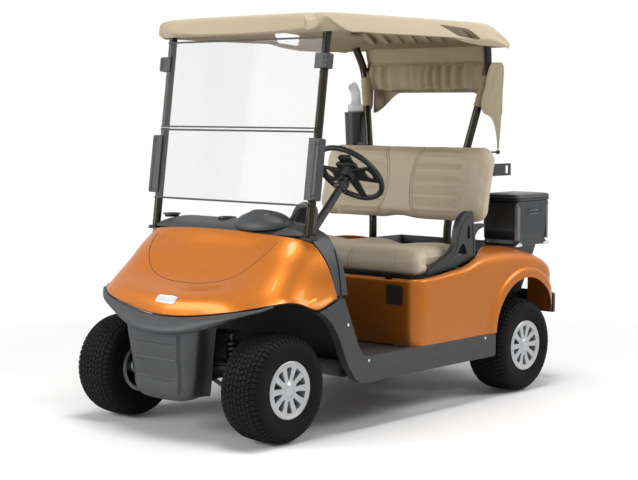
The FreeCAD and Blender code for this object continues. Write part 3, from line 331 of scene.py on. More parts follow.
def rounded_corners(outline, radius, per_corner=6):
    """A closed outline with each corner replaced by a curve from one side to the next.

    The curve is (1 - t)^2 before + 2 t (1 - t) corner + t^2 after, where before and after lie at
    the radius from the corner, or nearly half a side from it where the side is short.
    """
    p = np.asarray(outline, float)
    back = np.roll(p, 1, axis=0) - p
    on = np.roll(p, -1, axis=0) - p
    back_length = np.linalg.norm(back, axis=1, keepdims=True)
    on_length = np.linalg.norm(on, axis=1, keepdims=True)
    before = p + back / back_length * np.minimum(radius, back_length * 0.45)
    after = p + on / on_length * np.minimum(radius, on_length * 0.45)
    t = np.linspace(0, 1, per_corner)[None, :, None]
    curve = ((1 - t) ** 2 * before[:, None] + 2 * t * (1 - t) * p[:, None]
             + t ** 2 * after[:, None])
    return curve.reshape(-1, p.shape[1])


def rounded_path(places, radius, per_corner=8, spacing=25):
    """An open path whose inner corners are rounded as an outline's are, evenly resampled."""
    p = np.asarray(places, float)
    whole = rounded_corners(p, radius, per_corner)
    inner = whole[per_corner:-per_corner]
    path = np.concatenate([p[:1], inner, p[-1:]])
    length = np.linalg.norm(np.diff(path, axis=0), axis=1).sum()
    return polyline(path, max(int(length / spacing) * 2, 8))


def rounded_box_section(width, height, corner, per_corner=6):
    """A rectangle with quarter-circle corners."""
    out = []
    for i, (sx, sy) in enumerate(((1, 1), (-1, 1), (-1, -1), (1, -1))):
        a = np.pi / 2 * (i + np.linspace(0, 1, per_corner))
        out.append(np.stack([sx * (width / 2 - corner) + corner * np.cos(a),
                             sy * (height / 2 - corner) + corner * np.sin(a)], axis=1))
    return np.concatenate(out)


def turned(name, profile, centre, material, axis=(0, 1, 0), count=96, closed=False, depth=None):
    """A profile of (along the axis, radius) turned round an axis through the centre.

    The point at angle a is centre + axis * along + (cos a * first + sin a * second) * radius.
    depth, if given, is a function of the profile's arrays and the angle that moves the profile.
    """
    profile = np.asarray(profile, float)
    axis = np.asarray(axis, float) / np.linalg.norm(axis)
    guide = np.array((0.0, 0.0, 1.0)) if abs(axis[2]) < 0.9 else np.array((1.0, 0.0, 0.0))
    first = np.cross(guide, axis)
    first /= np.linalg.norm(first)
    second = np.cross(axis, first)
    a = np.arange(count) * 2 * np.pi / count
    along = np.repeat(profile[:, :1], count, axis=1)
    radius = np.repeat(profile[:, 1:2], count, axis=1)
    if depth is not None:
        along, radius = depth(along, radius, a[None, :])
    points = (np.asarray(centre, float) + along[..., None] * axis
              + radius[..., None] * (np.cos(a)[None, :, None] * first
                                     + np.sin(a)[None, :, None] * second))
    return by_angle(grid_object(name, points, material, closed, True, merge=0.01), 40)


def joined(name, objects):
    """Several meshes made one, with their modifiers applied first."""
    graph = bpy.context.evaluated_depsgraph_get()
    work = bmesh.new()
    material = objects[0].data.materials[0]
    for obj in objects:
        work.from_mesh(obj.evaluated_get(graph).to_mesh())
        obj.evaluated_get(graph).to_mesh_clear()
    mesh = bpy.data.meshes.new(name)
    work.to_mesh(mesh)
    work.free()
    for obj in objects:
        bpy.data.objects.remove(obj)
    return linked(name, mesh, material)


def settled(obj):
    """The object with its modifiers applied."""
    bpy.context.view_layer.update()
    graph = bpy.context.evaluated_depsgraph_get()
    mesh = bpy.data.meshes.new_from_object(obj.evaluated_get(graph))
    obj.modifiers.clear()
    obj.data = mesh
    return obj


def carved(obj, cutters):
    """The object less the cutters, which are then removed."""
    for cutter in cutters:
        modifier = obj.modifiers.new("Cut", "BOOLEAN")
        modifier.object = cutter
        modifier.operation = "DIFFERENCE"
        modifier.solver = "EXACT"
    settled(obj)
    for cutter in cutters:
        bpy.data.objects.remove(cutter)
    return obj


def flip_across(work, verts, faces):
    """Moves vertices to their mirror places across the cart's middle and turns the faces over."""
    for v in verts:
        v.co.y = -v.co.y
    bmesh.ops.reverse_faces(work, faces=faces)


def both_sides(obj):
    """Adds the mirror image of a piece to it."""
    settled(obj)
    work = bmesh.new()
    work.from_mesh(obj.data)
    copied = bmesh.ops.duplicate(work, geom=work.verts[:] + work.edges[:] + work.faces[:])["geom"]
    flip_across(work, [g for g in copied if isinstance(g, bmesh.types.BMVert)],
                [g for g in copied if isinstance(g, bmesh.types.BMFace)])
    work.to_mesh(obj.data)
    work.free()
    return obj


def mirror_of(name, obj):
    """The mirror image of a piece, as a piece of its own."""
    other = obj.data.copy()
    work = bmesh.new()
    work.from_mesh(other)
    flip_across(work, work.verts, work.faces)
    work.to_mesh(other)
    work.free()
    material = other.materials[0]
    other.materials.clear()
    return linked(name, other, material)


def vertex_rows(mesh, key="co"):
    """Each vertex's place in metres, or its normal, as a row."""
    values = np.zeros(len(mesh.vertices) * 3, np.float32)
    mesh.vertices.foreach_get(key, values)
    return values.reshape(-1, 3)


def set_places(mesh, places):
    """Moves the vertices to places in metres."""
    mesh.vertices.foreach_set("co", np.asarray(places, np.float32).ravel())
    mesh.update()


def paint_value(obj, name, values):
    """Stores one number for each vertex, for a material to read."""
    attribute = obj.data.attributes.new(name, "FLOAT", "POINT")
    attribute.data.foreach_set("value", np.asarray(values, np.float32).ravel())
    return obj


def place(obj, body, slot, *nodes):
    """Rides a piece on its body and lets it stand for its solids; the slot is not used."""
    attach(obj, body)
    if nodes:
        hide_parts(*nodes)
    return obj


# Shader arithmetic

class Value:
    """A shader socket; each operator adds the Math node that works it out."""

    def __init__(self, nodes, socket):
        self.nodes = nodes
        self.socket = socket

    def joined(self, operation, *values):
        return self.nodes.node("ShaderNodeMath", {"operation": operation}, dict(enumerate(values)))

    def __add__(self, other):
        return self.joined("ADD", self, other)

    def __radd__(self, other):
        return self.joined("ADD", other, self)

    def __sub__(self, other):
        return self.joined("SUBTRACT", self, other)

    def __rsub__(self, other):
        return self.joined("SUBTRACT", other, self)

    def __mul__(self, other):
        return self.joined("MULTIPLY", self, other)

    def __rmul__(self, other):
        return self.joined("MULTIPLY", other, self)

    def sine(self):
        return self.joined("SINE", self)

    def root(self):
        return self.joined("SQRT", self)

    def within(self, low, high):
        """0 below low, 1 above high, and a straight ramp between, held to that range."""
        return self.nodes.node("ShaderNodeMapRange", {"clamp": True},
                               {"Value": self, "From Min": low, "From Max": high})


class Nodes:
    """A node tree being built."""

    def __init__(self, tree):
        self.tree = tree
        tree.nodes.clear()

    def node(self, kind, settings, given, output=0):
        """Any node: its settings first, then its sockets' values or links."""
        made = self.tree.nodes.new(kind)
        for key, value in settings.items():
            setattr(made, key, value)
        for key, value in given.items():
            self.feed(made.inputs[key], value)
        return Value(self, made.outputs[output]) if made.outputs else None

    def feed(self, socket, value):
        if isinstance(value, Value):
            self.tree.links.new(value.socket, socket)
        elif hasattr(value, "__len__") and len(value) == 3 and len(socket.default_value) == 4:
            socket.default_value = (*value, 1)
        else:
            socket.default_value = value

    def seen_plainly(self):
        """1 where the camera sees a thing straight, mirrored or through glass, and 0 elsewhere."""
        seen = 0.0
        for ray in ("Is Camera Ray", "Is Glossy Ray", "Is Transmission Ray"):
            ray = self.node("ShaderNodeLightPath", {}, {}, ray)
            seen = ray.joined("MAXIMUM", seen, ray)
        return seen


class Finish(Nodes):
    """A material being built round one Principled shader."""

    def __init__(self, name, **fixed):
        self.material = bpy.data.materials.new(name)
        self.material.use_nodes = True
        super().__init__(self.material.node_tree)
        materials[name] = self.material
        self.output = self.tree.nodes.new("ShaderNodeOutputMaterial")
        self.shader = self.tree.nodes.new("ShaderNodeBsdfPrincipled")
        self.tree.links.new(self.shader.outputs[0], self.output.inputs[0])
        for key, value in fixed.items():
            self.shader.inputs[key.replace("_", " ")].default_value = value
        self.object_place = self.node("ShaderNodeTexCoord", {}, {}, "Object")

    def scaled(self, factors):
        """The object's place with each axis multiplied by a number."""
        return self.node("ShaderNodeVectorMath", {"operation": "MULTIPLY"},
                         {0: self.object_place, 1: factors})

    def part(self, axis):
        """One axis of the object's place, in metres."""
        return self.node("ShaderNodeSeparateXYZ", {}, {0: self.object_place}, axis)

    def noise(self, scale, detail=3.0, at=None):
        return self.node("ShaderNodeTexNoise", {},
                         {"Vector": at or self.object_place, "Scale": scale, "Detail": detail})

    def cells(self, scale, feature="F1", output="Distance"):
        return self.node("ShaderNodeTexVoronoi", {"feature": feature},
                         {"Vector": self.object_place, "Scale": scale}, output)

    def mixed(self, factor, first, second):
        return self.node("ShaderNodeMix", {"data_type": "RGBA"},
                         {0: factor, 6: first, 7: second}, 2)

    def stored(self, name):
        return self.node("ShaderNodeAttribute", {"attribute_name": name}, {}, "Fac")

    def colour(self, value):
        self.feed(self.shader.inputs["Base Color"], value)
        return self

    def rough(self, value):
        self.feed(self.shader.inputs["Roughness"], value)
        return self

    def metal(self, value):
        self.feed(self.shader.inputs["Metallic"], value)
        return self

    def bumps(self, height, distance, strength=1.0):
        """Height in 0 to 1 over a distance in metres, fed to the normal."""
        made = self.node("ShaderNodeBump", {},
                         {"Strength": strength, "Distance": distance, "Height": height})
        self.feed(self.shader.inputs["Normal"], made)
        return self


def grained(name, base, roughness, grain=900.0, depth=0.00025, mottle=0.15, dust=0.0):
    """Moulded plastic: fine cells for the grain, slow mottling, and dust that gathers low down."""
    finish = Finish(name)
    cloud = finish.noise(6.0, 4.0)
    fine = finish.noise(45.0, 3.0)
    dark = tuple(c * (1 - mottle) for c in base)
    light = tuple(min(c * (1 + mottle), 1) for c in base)
    tone = finish.mixed(cloud, dark, light)
    if dust:
        low = 1 - finish.part(2).within(0.05, 0.55)
        tone = finish.mixed(low * fine * dust, tone, (0.30, 0.26, 0.21))
    finish.colour(tone)
    finish.rough(roughness - 0.06 + fine * 0.12)
    cell = finish.cells(grain)
    finish.bumps(cell * 0.7 + finish.noise(grain * 0.6) * 0.3, depth)


def make_materials():
    """Makes every finish of the cart by its slot's name, and a few for small parts."""
    paint = Finish("orange_paint", Coat_Weight=0.35, Coat_Roughness=0.08, Coat_IOR=1.4,
                   Specular_IOR_Level=0.15)
    flake = paint.cells(2600.0, output="Color")
    sparkle = paint.node("ShaderNodeSeparateColor", {}, {0: flake})
    cloud = paint.noise(3.0, 3.0)
    base = paint.mixed(cloud, (0.440, 0.112, 0.005), (0.500, 0.135, 0.007))
    base = paint.mixed(sparkle * 0.22, base, (0.86, 0.36, 0.05))
    low = 1 - paint.part(2).within(0.30, 0.48)
    dust = low * paint.noise(40.0, 4.0) * 0.18
    base = paint.mixed(dust, base, (0.42, 0.33, 0.25))
    paint.colour(base).metal(0.50).rough(0.36 + sparkle * 0.08 + dust * 0.5)
    paint.bumps(paint.noise(420.0, 2.0) * 0.6 + paint.noise(60.0, 1.0) * 0.4, 0.00012, 0.35)

    for key, colour, rough, more in (
            ("grey_plastic", (0.031, 0.033, 0.035), 0.48, {"dust": 0.05}),
            ("black_plastic", (0.016, 0.017, 0.018), 0.42, {"dust": 0.08}),
            ("battery_case", (0.03, 0.03, 0.032), 0.5, {}),
            ("cooler_plastic", (0.014, 0.016, 0.018), 0.33, {"grain": 500.0}),
            ("wheel_grip", (0.012, 0.012, 0.013), 0.45, {"grain": 700.0}),
            ("tan_plastic", (0.44, 0.358, 0.238), 0.52,
             {"grain": 650.0, "depth": 0.0002, "mottle": 0.05}),
            ("cooler_grey", (0.16, 0.17, 0.18), 0.45, {})):
        grained(key, colour, rough, **more)
    for key, colour, rough in (("black_steel", (0.010, 0.010, 0.010), 0.40),
                               ("suspension_steel", (0.020, 0.020, 0.021), 0.38),
                               ("spring_steel", (0.018, 0.018, 0.019), 0.35),
                               ("column_steel", (0.030, 0.031, 0.033), 0.22)):
        coat = Finish(key, Coat_Weight=0.4, Coat_Roughness=0.15)
        wear = coat.noise(25.0, 5.0).within(0.58, 0.72)
        coat.colour(coat.mixed(wear * 0.35, colour, tuple(c * 2.5 + 0.02 for c in colour)))
        coat.metal(0.3).rough(rough + wear * 0.2)
        coat.bumps(coat.noise(300.0), 0.0002, 0.5)

    iron = Finish("axle_iron")
    rust = iron.noise(30.0, 5.0).within(0.45, 0.7)
    iron.colour(iron.mixed(rust, (0.055, 0.055, 0.056), (0.10, 0.075, 0.055))).metal(0.6)
    iron.rough(0.5 + rust * 0.3).bumps(iron.noise(220.0, 4.0), 0.0008, 0.6)

    bronze = Finish("strut_steel", Coat_Weight=0.3, Coat_Roughness=0.08)
    streak = bronze.noise(14.0, 3.0, at=bronze.scaled((6.0, 6.0, 0.6)))
    bronze.colour(bronze.mixed(streak, (0.007, 0.005, 0.003), (0.026, 0.019, 0.007)))
    bronze.metal(0.75).rough(0.26 + streak * 0.1).bumps(bronze.noise(500.0), 0.0001, 0.4)

    vinyl = Finish("tan_vinyl", Coat_Weight=0.08, Coat_Roughness=0.3)
    cloud = vinyl.noise(5.0, 4.0)
    fine = vinyl.noise(60.0, 3.0)
    tone = vinyl.mixed(cloud, (0.580, 0.492, 0.360), (0.660, 0.568, 0.430))
    # The stored seam value darkens the thread lines, and carries painted shade in the backrest's
    # rib valleys and on the seat's underside.
    seam = vinyl.stored("seam")
    tone = vinyl.mixed(seam * 0.6, tone, (0.150, 0.115, 0.075))
    vinyl.colour(tone).rough(0.46 + fine * 0.12)
    pores = vinyl.cells(700.0) * 0.6 + vinyl.cells(260.0, feature="SMOOTH_F1") * 0.4
    vinyl.bumps(pores + vinyl.noise(14.0, 3.0) * 0.8, 0.0007, 0.55)

    cloth = Finish("tan_fabric")
    warp = (cloth.part(1) * 5200.0).sine() * 0.5
    weft = ((cloth.part(2) + cloth.part(0)) * 5200.0).sine() * 0.5
    weave = warp * weft + 0.5
    cloud = cloth.noise(4.0, 4.0)
    tone = cloth.mixed(cloud, (0.40, 0.315, 0.205), (0.52, 0.425, 0.295))
    tone = cloth.mixed(weave * 0.22, tone, (0.27, 0.205, 0.13))
    # The stored seam value darkens hems and seams, and carries painted shade in the front sheet's
    # folds.
    hem = cloth.stored("seam")
    tone = cloth.mixed(hem * 0.6, tone, (0.22, 0.16, 0.10))
    cloth.colour(tone).rough(0.82).bumps(weave + cloth.noise(90.0) * 0.6, 0.0007, 0.6)

    rubber = Finish("tyre", Specular_IOR_Level=0.10)
    worn = rubber.stored("tread")
    cloud = rubber.noise(30.0, 5.0)
    tone = rubber.mixed(cloud, (0.005, 0.005, 0.005), (0.011, 0.011, 0.011))
    tone = rubber.mixed(worn * 0.35, tone, (0.020, 0.020, 0.019))
    rubber.colour(tone).rough(0.62 + cloud * 0.16)
    rubber.bumps(rubber.noise(180.0, 5.0), 0.0006, 0.7)

    silver = Finish("wheel_silver", Coat_Weight=0.6, Coat_Roughness=0.10)
    hollow = silver.stored("hollow")
    flake = silver.cells(2200.0, output="Color")
    flake = silver.node("ShaderNodeSeparateColor", {}, {0: flake})
    tone = silver.mixed(flake * 0.3, (0.42, 0.43, 0.44), (0.66, 0.67, 0.68))
    tone = silver.mixed(hollow, tone, (0.020, 0.020, 0.021))
    silver.colour(tone).metal(0.55 - hollow * 0.5).rough(0.30 + hollow * 0.35)
    silver.bumps(silver.noise(350.0), 0.0001, 0.4)

    clear = Finish("clear_sheet", Roughness=0.05)
    smear = clear.noise(2.2, 3.0, at=clear.scaled((1.0, 1.0, 0.35))).within(0.3, 0.7)
    clear.colour(clear.mixed(smear, (0.30, 0.305, 0.31), (0.42, 0.425, 0.43)))
    clear.feed(clear.shader.inputs["Alpha"], 0.12 - smear * 0.04)

    milk = Finish("bottle_plastic", Transmission_Weight=0.55, IOR=1.25)
    cloud = milk.noise(20.0, 3.0)
    milk.colour(milk.mixed(cloud, (0.66, 0.69, 0.69), (0.86, 0.88, 0.87))).rough(0.38)
    milk.bumps(cloud, 0.0006, 0.4)

    mat = Finish("floor_mat")
    ribs = (mat.part(1) * 420.0).sine().within(-0.2, 0.6)
    wear = mat.noise(8.0, 5.0)
    mat.colour(mat.mixed(wear, (0.016, 0.016, 0.016), (0.034, 0.033, 0.031)))
    mat.rough(0.62 + wear * 0.2).bumps(ribs, 0.0016, 0.9)

    bright = Finish("bright_trim", Metallic=0.9)
    brushed = bright.noise(200.0, 2.0, at=bright.scaled((0.3, 4.0, 4.0)))
    bright.colour(bright.mixed(brushed, (0.55, 0.56, 0.57), (0.80, 0.81, 0.82)))
    bright.rough(0.22 + brushed * 0.12).bumps(brushed, 0.00012, 0.5)

    # Painted shade: a near-black finish for strips laid where panel gaps are in shadow.
    gap = Finish("shadow_gap")
    gap.colour(gap.mixed(gap.noise(40.0), (0.012, 0.010, 0.008), (0.03, 0.025, 0.02))).rough(0.7)

    lens = Finish("amber_lens", Coat_Weight=0.3)
    lens.colour(lens.mixed(lens.cells(420.0), (0.95, 0.46, 0.02), (1.00, 0.62, 0.06))).rough(0.30)
    lens.bumps(lens.cells(420.0), 0.0006, 0.6)


materials = {}


# Painted panels

COWL_ROWS = (
    ((200, 0, 514), (194, 100, 517), (179, 200, 527), (163, 300, 542), (143, 400, 560),
     (100, 480, 577), (30, 541, 590), (-60, 566, 578), (-135, 578, 551),
     (-200, 579, 566), (-270, 576, 590)),
    ((181, 0, 587), (175, 100, 590), (158, 200, 598), (132, 300, 609), (100, 390, 618),
     (56, 472, 630), (-12, 525, 636), (-95, 548, 632), (-170, 558, 622),
     (-225, 562, 630), (-262, 564, 645)),
    ((70, 0, 639), (64, 100, 644), (50, 200, 657), (34, 300, 676), (14, 385, 692),
     (-10, 444, 700), (-54, 494, 702), (-108, 523, 702), (-166, 538, 702),
     (-212, 545, 705), (-247, 549, 712)),
    ((-30, 0, 762), (-31, 100, 764), (-36, 200, 768), (-43, 290, 772), (-54, 360, 773),
     (-72, 418, 773), (-100, 464, 772), (-138, 494, 771), (-176, 511, 771),
     (-204, 519, 772), (-226, 523, 775)),
    ((-115, 0, 864), (-117, 100, 863), (-122, 200, 860), (-130, 290, 855),
     (-140, 350, 851), (-150, 395, 847), (-162, 430, 842), (-172, 455, 837),
     (-182, 475, 831), (-190, 489, 825), (-197, 500, 819)),
)


COWL_EVENINGS = 120
SEAM_HALF_WIDTH = 373


def seam_line(y):
    """How far ahead of the front axle the nose panel's U-shaped edge lies, at a width y.

    A superellipse: x = -136 + 206 (1 - (|y| / 373)^2.3)^(1 / 2.3).
    """
    return -136 + 206 * np.clip(1 - (np.abs(y) / SEAM_HALF_WIDTH) ** 2.3, 0, 1) ** (1 / 2.3)


def cowl_points(up, across):
    """The cowl's grid: cubics through its five rows, evened, then moved along the normal.

    Evening takes each inner point halfway to the mean of its four neighbours, 120 times.
    Inside the U-shaped edge it is dished by up to 15 mm, beside the shoulder it is drawn in by
    1 mm, and a lip of 3 mm rises along the wheel arch.
    """
    half = np.stack([spline(from_front(row), across) for row in COWL_ROWS])
    half = spline(half, up)
    points = whole_width(half)
    for _ in range(COWL_EVENINGS):
        around = points[2:, 1:-1] + points[:-2, 1:-1] + points[1:-1, 2:] + points[1:-1, :-2]
        points[1:-1, 1:-1] = points[1:-1, 1:-1] * 0.5 + around * 0.125
    normal = -surface_normals(points)
    x = points[..., 0] - FRONT_AXLE
    y = points[..., 1]
    inside = seam_line(y) - x
    within = np.where(np.abs(y) < SEAM_HALF_WIDTH, inside, -50.0)
    edge = np.minimum(within, (SEAM_HALF_WIDTH - np.abs(y)) * 1.2)
    dish = 2.0 * soft_step(0, 7, edge) + 13.0 * soft_step(0, 120, edge)
    level = np.linspace(0, 1, up)[:, None]
    shoulder = 486 + 30 * soft_step(-60, -220, x) - 20 * soft_step(60, 160, x)
    side = soft_step(0, 46, np.abs(y) - shoulder) * soft_step(80, 20, x)
    side = side * soft_step(1.0, 0.72, level) * soft_step(0.02, 0.25, level)
    arch = soft_step(60, 10, x) * soft_step(-262, -225, x) * (np.abs(y) > 400)
    lip = arch * soft_step(0.085, 0.0, level)
    dish = dish * soft_step(1.0, 0.80, level)
    move = -dish - 1.0 * side + 3.0 * lip
    return points + normal * move[..., None]


def cowl_cut(points, along, offset):
    """Places on the cowl above plan places: the nearest grid point, raised by an offset."""
    normal = -surface_normals(points)
    flat = points.reshape(-1, 3)
    normals = normal.reshape(-1, 3)
    gap = ((flat[None, :, 0] - along[:, 0:1]) ** 2 + (flat[None, :, 1] - along[:, 1:2]) ** 2
           + (0.15 * (flat[None, :, 2] - along[:, 2:3])) ** 2)
    near = np.argsort(gap, axis=1)[:, :4]
    weight = 1 / (np.take_along_axis(gap, near, 1) + 0.5)
    weight /= weight.sum(axis=1, keepdims=True)
    place_on = (flat[near] * weight[..., None]).sum(axis=1)
    facing = (normals[near] * weight[..., None]).sum(axis=1)
    facing /= np.linalg.norm(facing, axis=1, keepdims=True)
    return place_on + facing * offset, facing


def flat_strip(name, path, facing, width, height, material):
    """A thin raised strip along a path: four corners in the plane of its facing and side."""
    path = np.asarray(path, float)
    tangent = np.gradient(path, axis=0)
    tangent /= np.linalg.norm(tangent, axis=1, keepdims=True)
    side = np.cross(tangent, facing)
    side /= np.linalg.norm(side, axis=1, keepdims=True)
    corners = [side * width / 2 - facing * height, side * width / 2, -side * width / 2,
               -side * width / 2 - facing * height]
    ring = np.stack([path + c for c in corners], axis=1)
    return grid_object(name, ring, material, wrap_columns=True)


BODY_STATIONS = (
    (865, 0, 600, 851, 0, 620), (865, 140, 600, 851, 140, 620), (865, 270, 600, 851, 270, 620),
    (865, 380, 600, 851, 380, 620), (865, 450, 600, 851, 450, 620),
    (865, 490, 600, 851, 490, 620), (865, 515, 600, 851, 515, 620),
    (860, 542, 600, 847, 536, 620), (845, 564, 600, 835, 554, 621),
    (822, 580, 600, 817, 566, 621), (795, 585, 600, 795, 568, 622),
    (750, 585, 602, 750, 566, 624), (680, 585, 605, 680, 563, 629),
    (570, 585, 612, 570, 559, 640), (460, 585, 624, 460, 553, 655),
    (370, 585, 642, 370, 545, 684), (280, 585, 655, 280, 505, 710),
    (180, 585, 662, 180, 467, 722), (60, 585, 658, 60, 459, 716),
    (-60, 585, 645, -60, 459, 698), (-160, 584, 622, -152, 462, 670),
    (-235, 574, 590, -205, 462, 640), (-280, 540, 565, -240, 455, 610),
    (-290, 480, 556, -258, 440, 592), (-290, 410, 552, -266, 405, 578),
)
ARCH_CENTRE = (REAR_AXLE - 10.0, 302.6)
ARCH_RADIUS = 262.0


def body_points(up, across):
    """The rear body's grid: each station goes up from the sill, over its shoulder to its top.

    A flare of up to 11 mm follows the wheel arch: it is a function of the distance from the
    arch's centre alone, as a quick rise and a slow fall.
    """
    rows = [[] for _ in range(8)]
    for x, y, shoulder, top_x, top_y, top in BODY_STATIONS:
        rise = top - shoulder
        levels = ((0, 318.3), (0, 318 + (shoulder - 318) * 0.4), (0, shoulder - 75),
                  (0, shoulder - 35), (0.01, shoulder - 10), (0.12, shoulder + rise * 0.35),
                  (0.45, shoulder + rise * 0.78), (1, top))
        for row, (share, z) in zip(rows, levels):
            row.append((x + (top_x - x) * share, y + (top_y - y) * share, z))
    half = np.stack([spline(from_rear(row), across) for row in rows])
    half = spline(half, up)
    points = whole_width(half)
    away = np.hypot(points[..., 0] - ARCH_CENTRE[0], points[..., 2] - ARCH_CENTRE[1])
    flare = soft_step(ARCH_RADIUS + 52, ARCH_RADIUS + 34, away) * 11.0
    outward = soft_step(500, 560, np.abs(points[..., 1]))
    normal = -surface_normals(points)
    return points + normal * (flare * outward)[..., None]


class CART_OT_nose(bpy.types.Operator):
    """Make the nose panel with its plate, markers, and painted-shade strips at its seam and edge"""
    bl_idname = "cart.nose"
    bl_label = "Nose panel"

    def execute(self, context):
        points = cowl_points(101, 151)
        panel = grid_object("nose_panel", points, materials["orange_paint"], sight=(0.3, 0, 0.7))
        place(thick(panel, 3.2), "chassis", "orange_paint", "front_cowl")

        y = np.linspace(-372, 372, 240)
        y = 372 * np.sin(y / 372 * np.pi / 2)
        plan = np.stack([ahead(seam_line(y)), y, np.full_like(y, 740.0)], axis=1)
        for _ in range(3):
            on, facing = cowl_cut(points, plan, 0.35)
            plan = np.stack([plan[:, 0], plan[:, 1], on[:, 2]], axis=1)
        # Painted shade: a dark strip laid flush along the seam in place of the gap's shadow.
        line = flat_strip("nose_seam_shadow", on, facing, 2.6, 1.5, materials["shadow_gap"])
        place(line, "chassis", "black_plastic")

        lower = points[0]
        path = spline(lower[::3], 300)
        facing = np.tile((0.0, 0.0, -1.0), (len(path), 1))
        # Painted shade: a dark strip along the panel's lower edge in place of the seam's shadow
        # above the bumper.
        edge_shadow_strip = flat_strip("nose_edge_shadow", path + (0, 0, -0.8), facing, 3.5, 2.5,
                          materials["shadow_gap"])
        place(edge_shadow_strip, "chassis", "black_plastic")

        plate_middle, normal = cowl_cut(points, np.array([[ahead(181.0), 0.0, 587.0]]), 1.0)
        self.badge(plate_middle[0], normal[0])
        self.markers(points)
        return {"FINISHED"}

    def markers(self, points):
        """Two amber lenses low on the nose's sides: half ellipsoids bent onto the panel."""
        a = np.arange(48) * 2 * np.pi / 48
        share = np.sin(np.linspace(0, np.pi / 2, 12))
        share, a = np.meshgrid(share, a, indexing="ij")
        lenses = []
        for side in (-1, 1):
            plan = np.array([[ahead(-118.0), side * 566.0, 590.0]])
            on, facing = cowl_cut(points, plan, 0.5)
            along = np.array((0.93, 0.0, -0.36))
            up = np.cross(along, facing[0])
            lift = 9.0 * np.sqrt(np.clip(1 - share ** 2, 0, 1))
            place_at = (on[0] + along * (share * 30 * np.cos(a))[..., None]
                        + up * (share * 9.5 * np.sin(a))[..., None] + facing[0] * lift[..., None])
            lenses.append(grid_object("lens", place_at, materials["amber_lens"],
                                      wrap_columns=True, merge=0.05, sight=(0, side, 0)))
        place(joined("nose_markers", lenses), "chassis", "orange_paint")

    def badge(self, middle, normal):
        """A bare plate with a raised rim, curved with the nose: its grid bends back by y^2."""
        u = np.linspace(-1, 1, 41)
        v = np.linspace(-1, 1, 25)
        v, u = np.meshgrid(v, u, indexing="ij")
        corner = (np.abs(u) ** 8 + np.abs(v) ** 6) ** (1 / 7)
        edge = np.maximum(np.abs(u) ** 3, np.abs(v) ** 2.2)
        up = np.cross(normal, (0, -1, 0))
        up = up / np.linalg.norm(up) * np.sign(up[2])
        across = np.array((0.0, 1.0, 0.0))
        shape = np.minimum(1.0, 1.0 / np.maximum(corner, 1e-6))
        y = u * 60.0 * shape
        rise = v * 19.0 * shape
        lift = 1.2 + 1.6 * soft_step(0.62, 0.74, edge) - 3.5 * soft_step(0.93, 1.0, corner)
        back = (y ** 2) / 2600.0
        points = (middle + across * y[..., None] + up * rise[..., None]
                  + normal * lift[..., None] - np.array((1.0, 0, 0)) * back[..., None])
        plate = grid_object("nose_plate", points, materials["bright_trim"], sight=(1, 0, 0))
        place(plate, "chassis", "wheel_silver")


def face_outwards(obj, sight):
    """Turns a sheet over if most of it faces away from a direction."""
    mesh = obj.data
    normals = np.zeros(len(mesh.polygons) * 3)
    mesh.polygons.foreach_get("normal", normals)
    area = np.zeros(len(mesh.polygons))
    mesh.polygons.foreach_get("area", area)
    if (normals.reshape(-1, 3) @ np.asarray(sight, float) * area).sum() < 0:
        mesh.flip_normals()
    return obj


class CART_OT_rear_body(bpy.types.Operator):
    """Make the painted rear body with its arches, latch notch and charging cover"""
    bl_idname = "cart.rear_body"
    bl_label = "Rear body"

    def execute(self, context):
        paint = materials["orange_paint"]
        body = thick(grid_object("rear_panel", body_points(81, 181), paint, sight=(1, 0, 1)), 4.0)
        arch = circle(ARCH_RADIUS, 160) + ARCH_CENTRE
        under = [(astern(-420), 200), (ARCH_CENTRE[0], 200), (ARCH_CENTRE[0], 282),
                 (astern(-420), 282)]
        below = [(astern(-420), 200), (astern(-250), 200), (astern(-250), 370), (astern(-420), 370)]
        notch = rounded_box_section(26, 16, 5) + (astern(856.0), 620)
        carved(body, [extruded("cut", outline, 1, near, far, paint) for outline, near, far in (
            (arch, -640, -380), (arch, 380, 640), (under, -640, 640), (below, -640, 640),
            (notch, 392, 436))])
        place(by_angle(body, 40), "chassis", "orange_paint", "rear_body")
        self.charge_cover()
        return {"FINISHED"}

    def charge_cover(self):
        """The square black cover: a plate with a raised rim and a finger scoop."""
        black = materials["black_plastic"]
        middle = (459, 546)
        plate = extruded("charge_cover", rounded_box_section(92, 88, 8) + middle, 0,
                         astern(865.3), astern(869.0), black)
        rim = extruded("charge_rim", rounded_box_section(94, 90, 9) + middle, 0, astern(868.6),
                       astern(869.3), black, holes=[rounded_box_section(80, 76, 6) + middle])
        pull = extruded("charge_pull", rounded_box_section(34, 9, 4) + (459, 514), 0,
                        astern(868.8), astern(869.3), black)
        whole = joined("charge_cover_dressed", [bevelled(plate, 1.2), rim, pull])
        place(by_angle(whole, 30), "chassis", "black_plastic", "charge_port_cover")


# Roof

REAR_FALL = 90
CHANNEL_DEPTH = 22
ROOF_TUCK = 26
ROOF_HALF_PLAN = (
    (685, 0), (684, 150), (680, 300), (673, 400), (663, 468), (647, 522), (620, 556), (583, 573),
    (525, 575), (400, 575), (250, 575), (50, 575), (-150, 575), (-370, 575), (-500, 568),
    (-630, 541), (-690, 515), (-728, 484), (-754, 444), (-772, 394), (-786, 290), (-790, 150),
    (-790, 0),
)
ROOF_SPINE = ((-791, 1718), (-770, 1744), (-742, 1764), (-670, 1794), (-440, 1813), (-15, 1818),
              (385, 1812), (560, 1804), (622, 1797), (646, 1788), (660, 1768), (686, 1720))
ROOF_CROWN = ((0, 1822), (150, 1820), (250, 1817), (430, 1804), (478, 1797), (500, 1789),
              (518, 1773), (546, 1747), (566, 1727), (578, 1713), (640, 1640))
ROOF_LIP = ((-791, 1690), (-700, 1687), (-540, 1682), (-370, 1684), (-230, 1697), (-140, 1714),
            (-30, 1731), (230, 1740), (505, 1736), (600, 1722), (686, 1712))


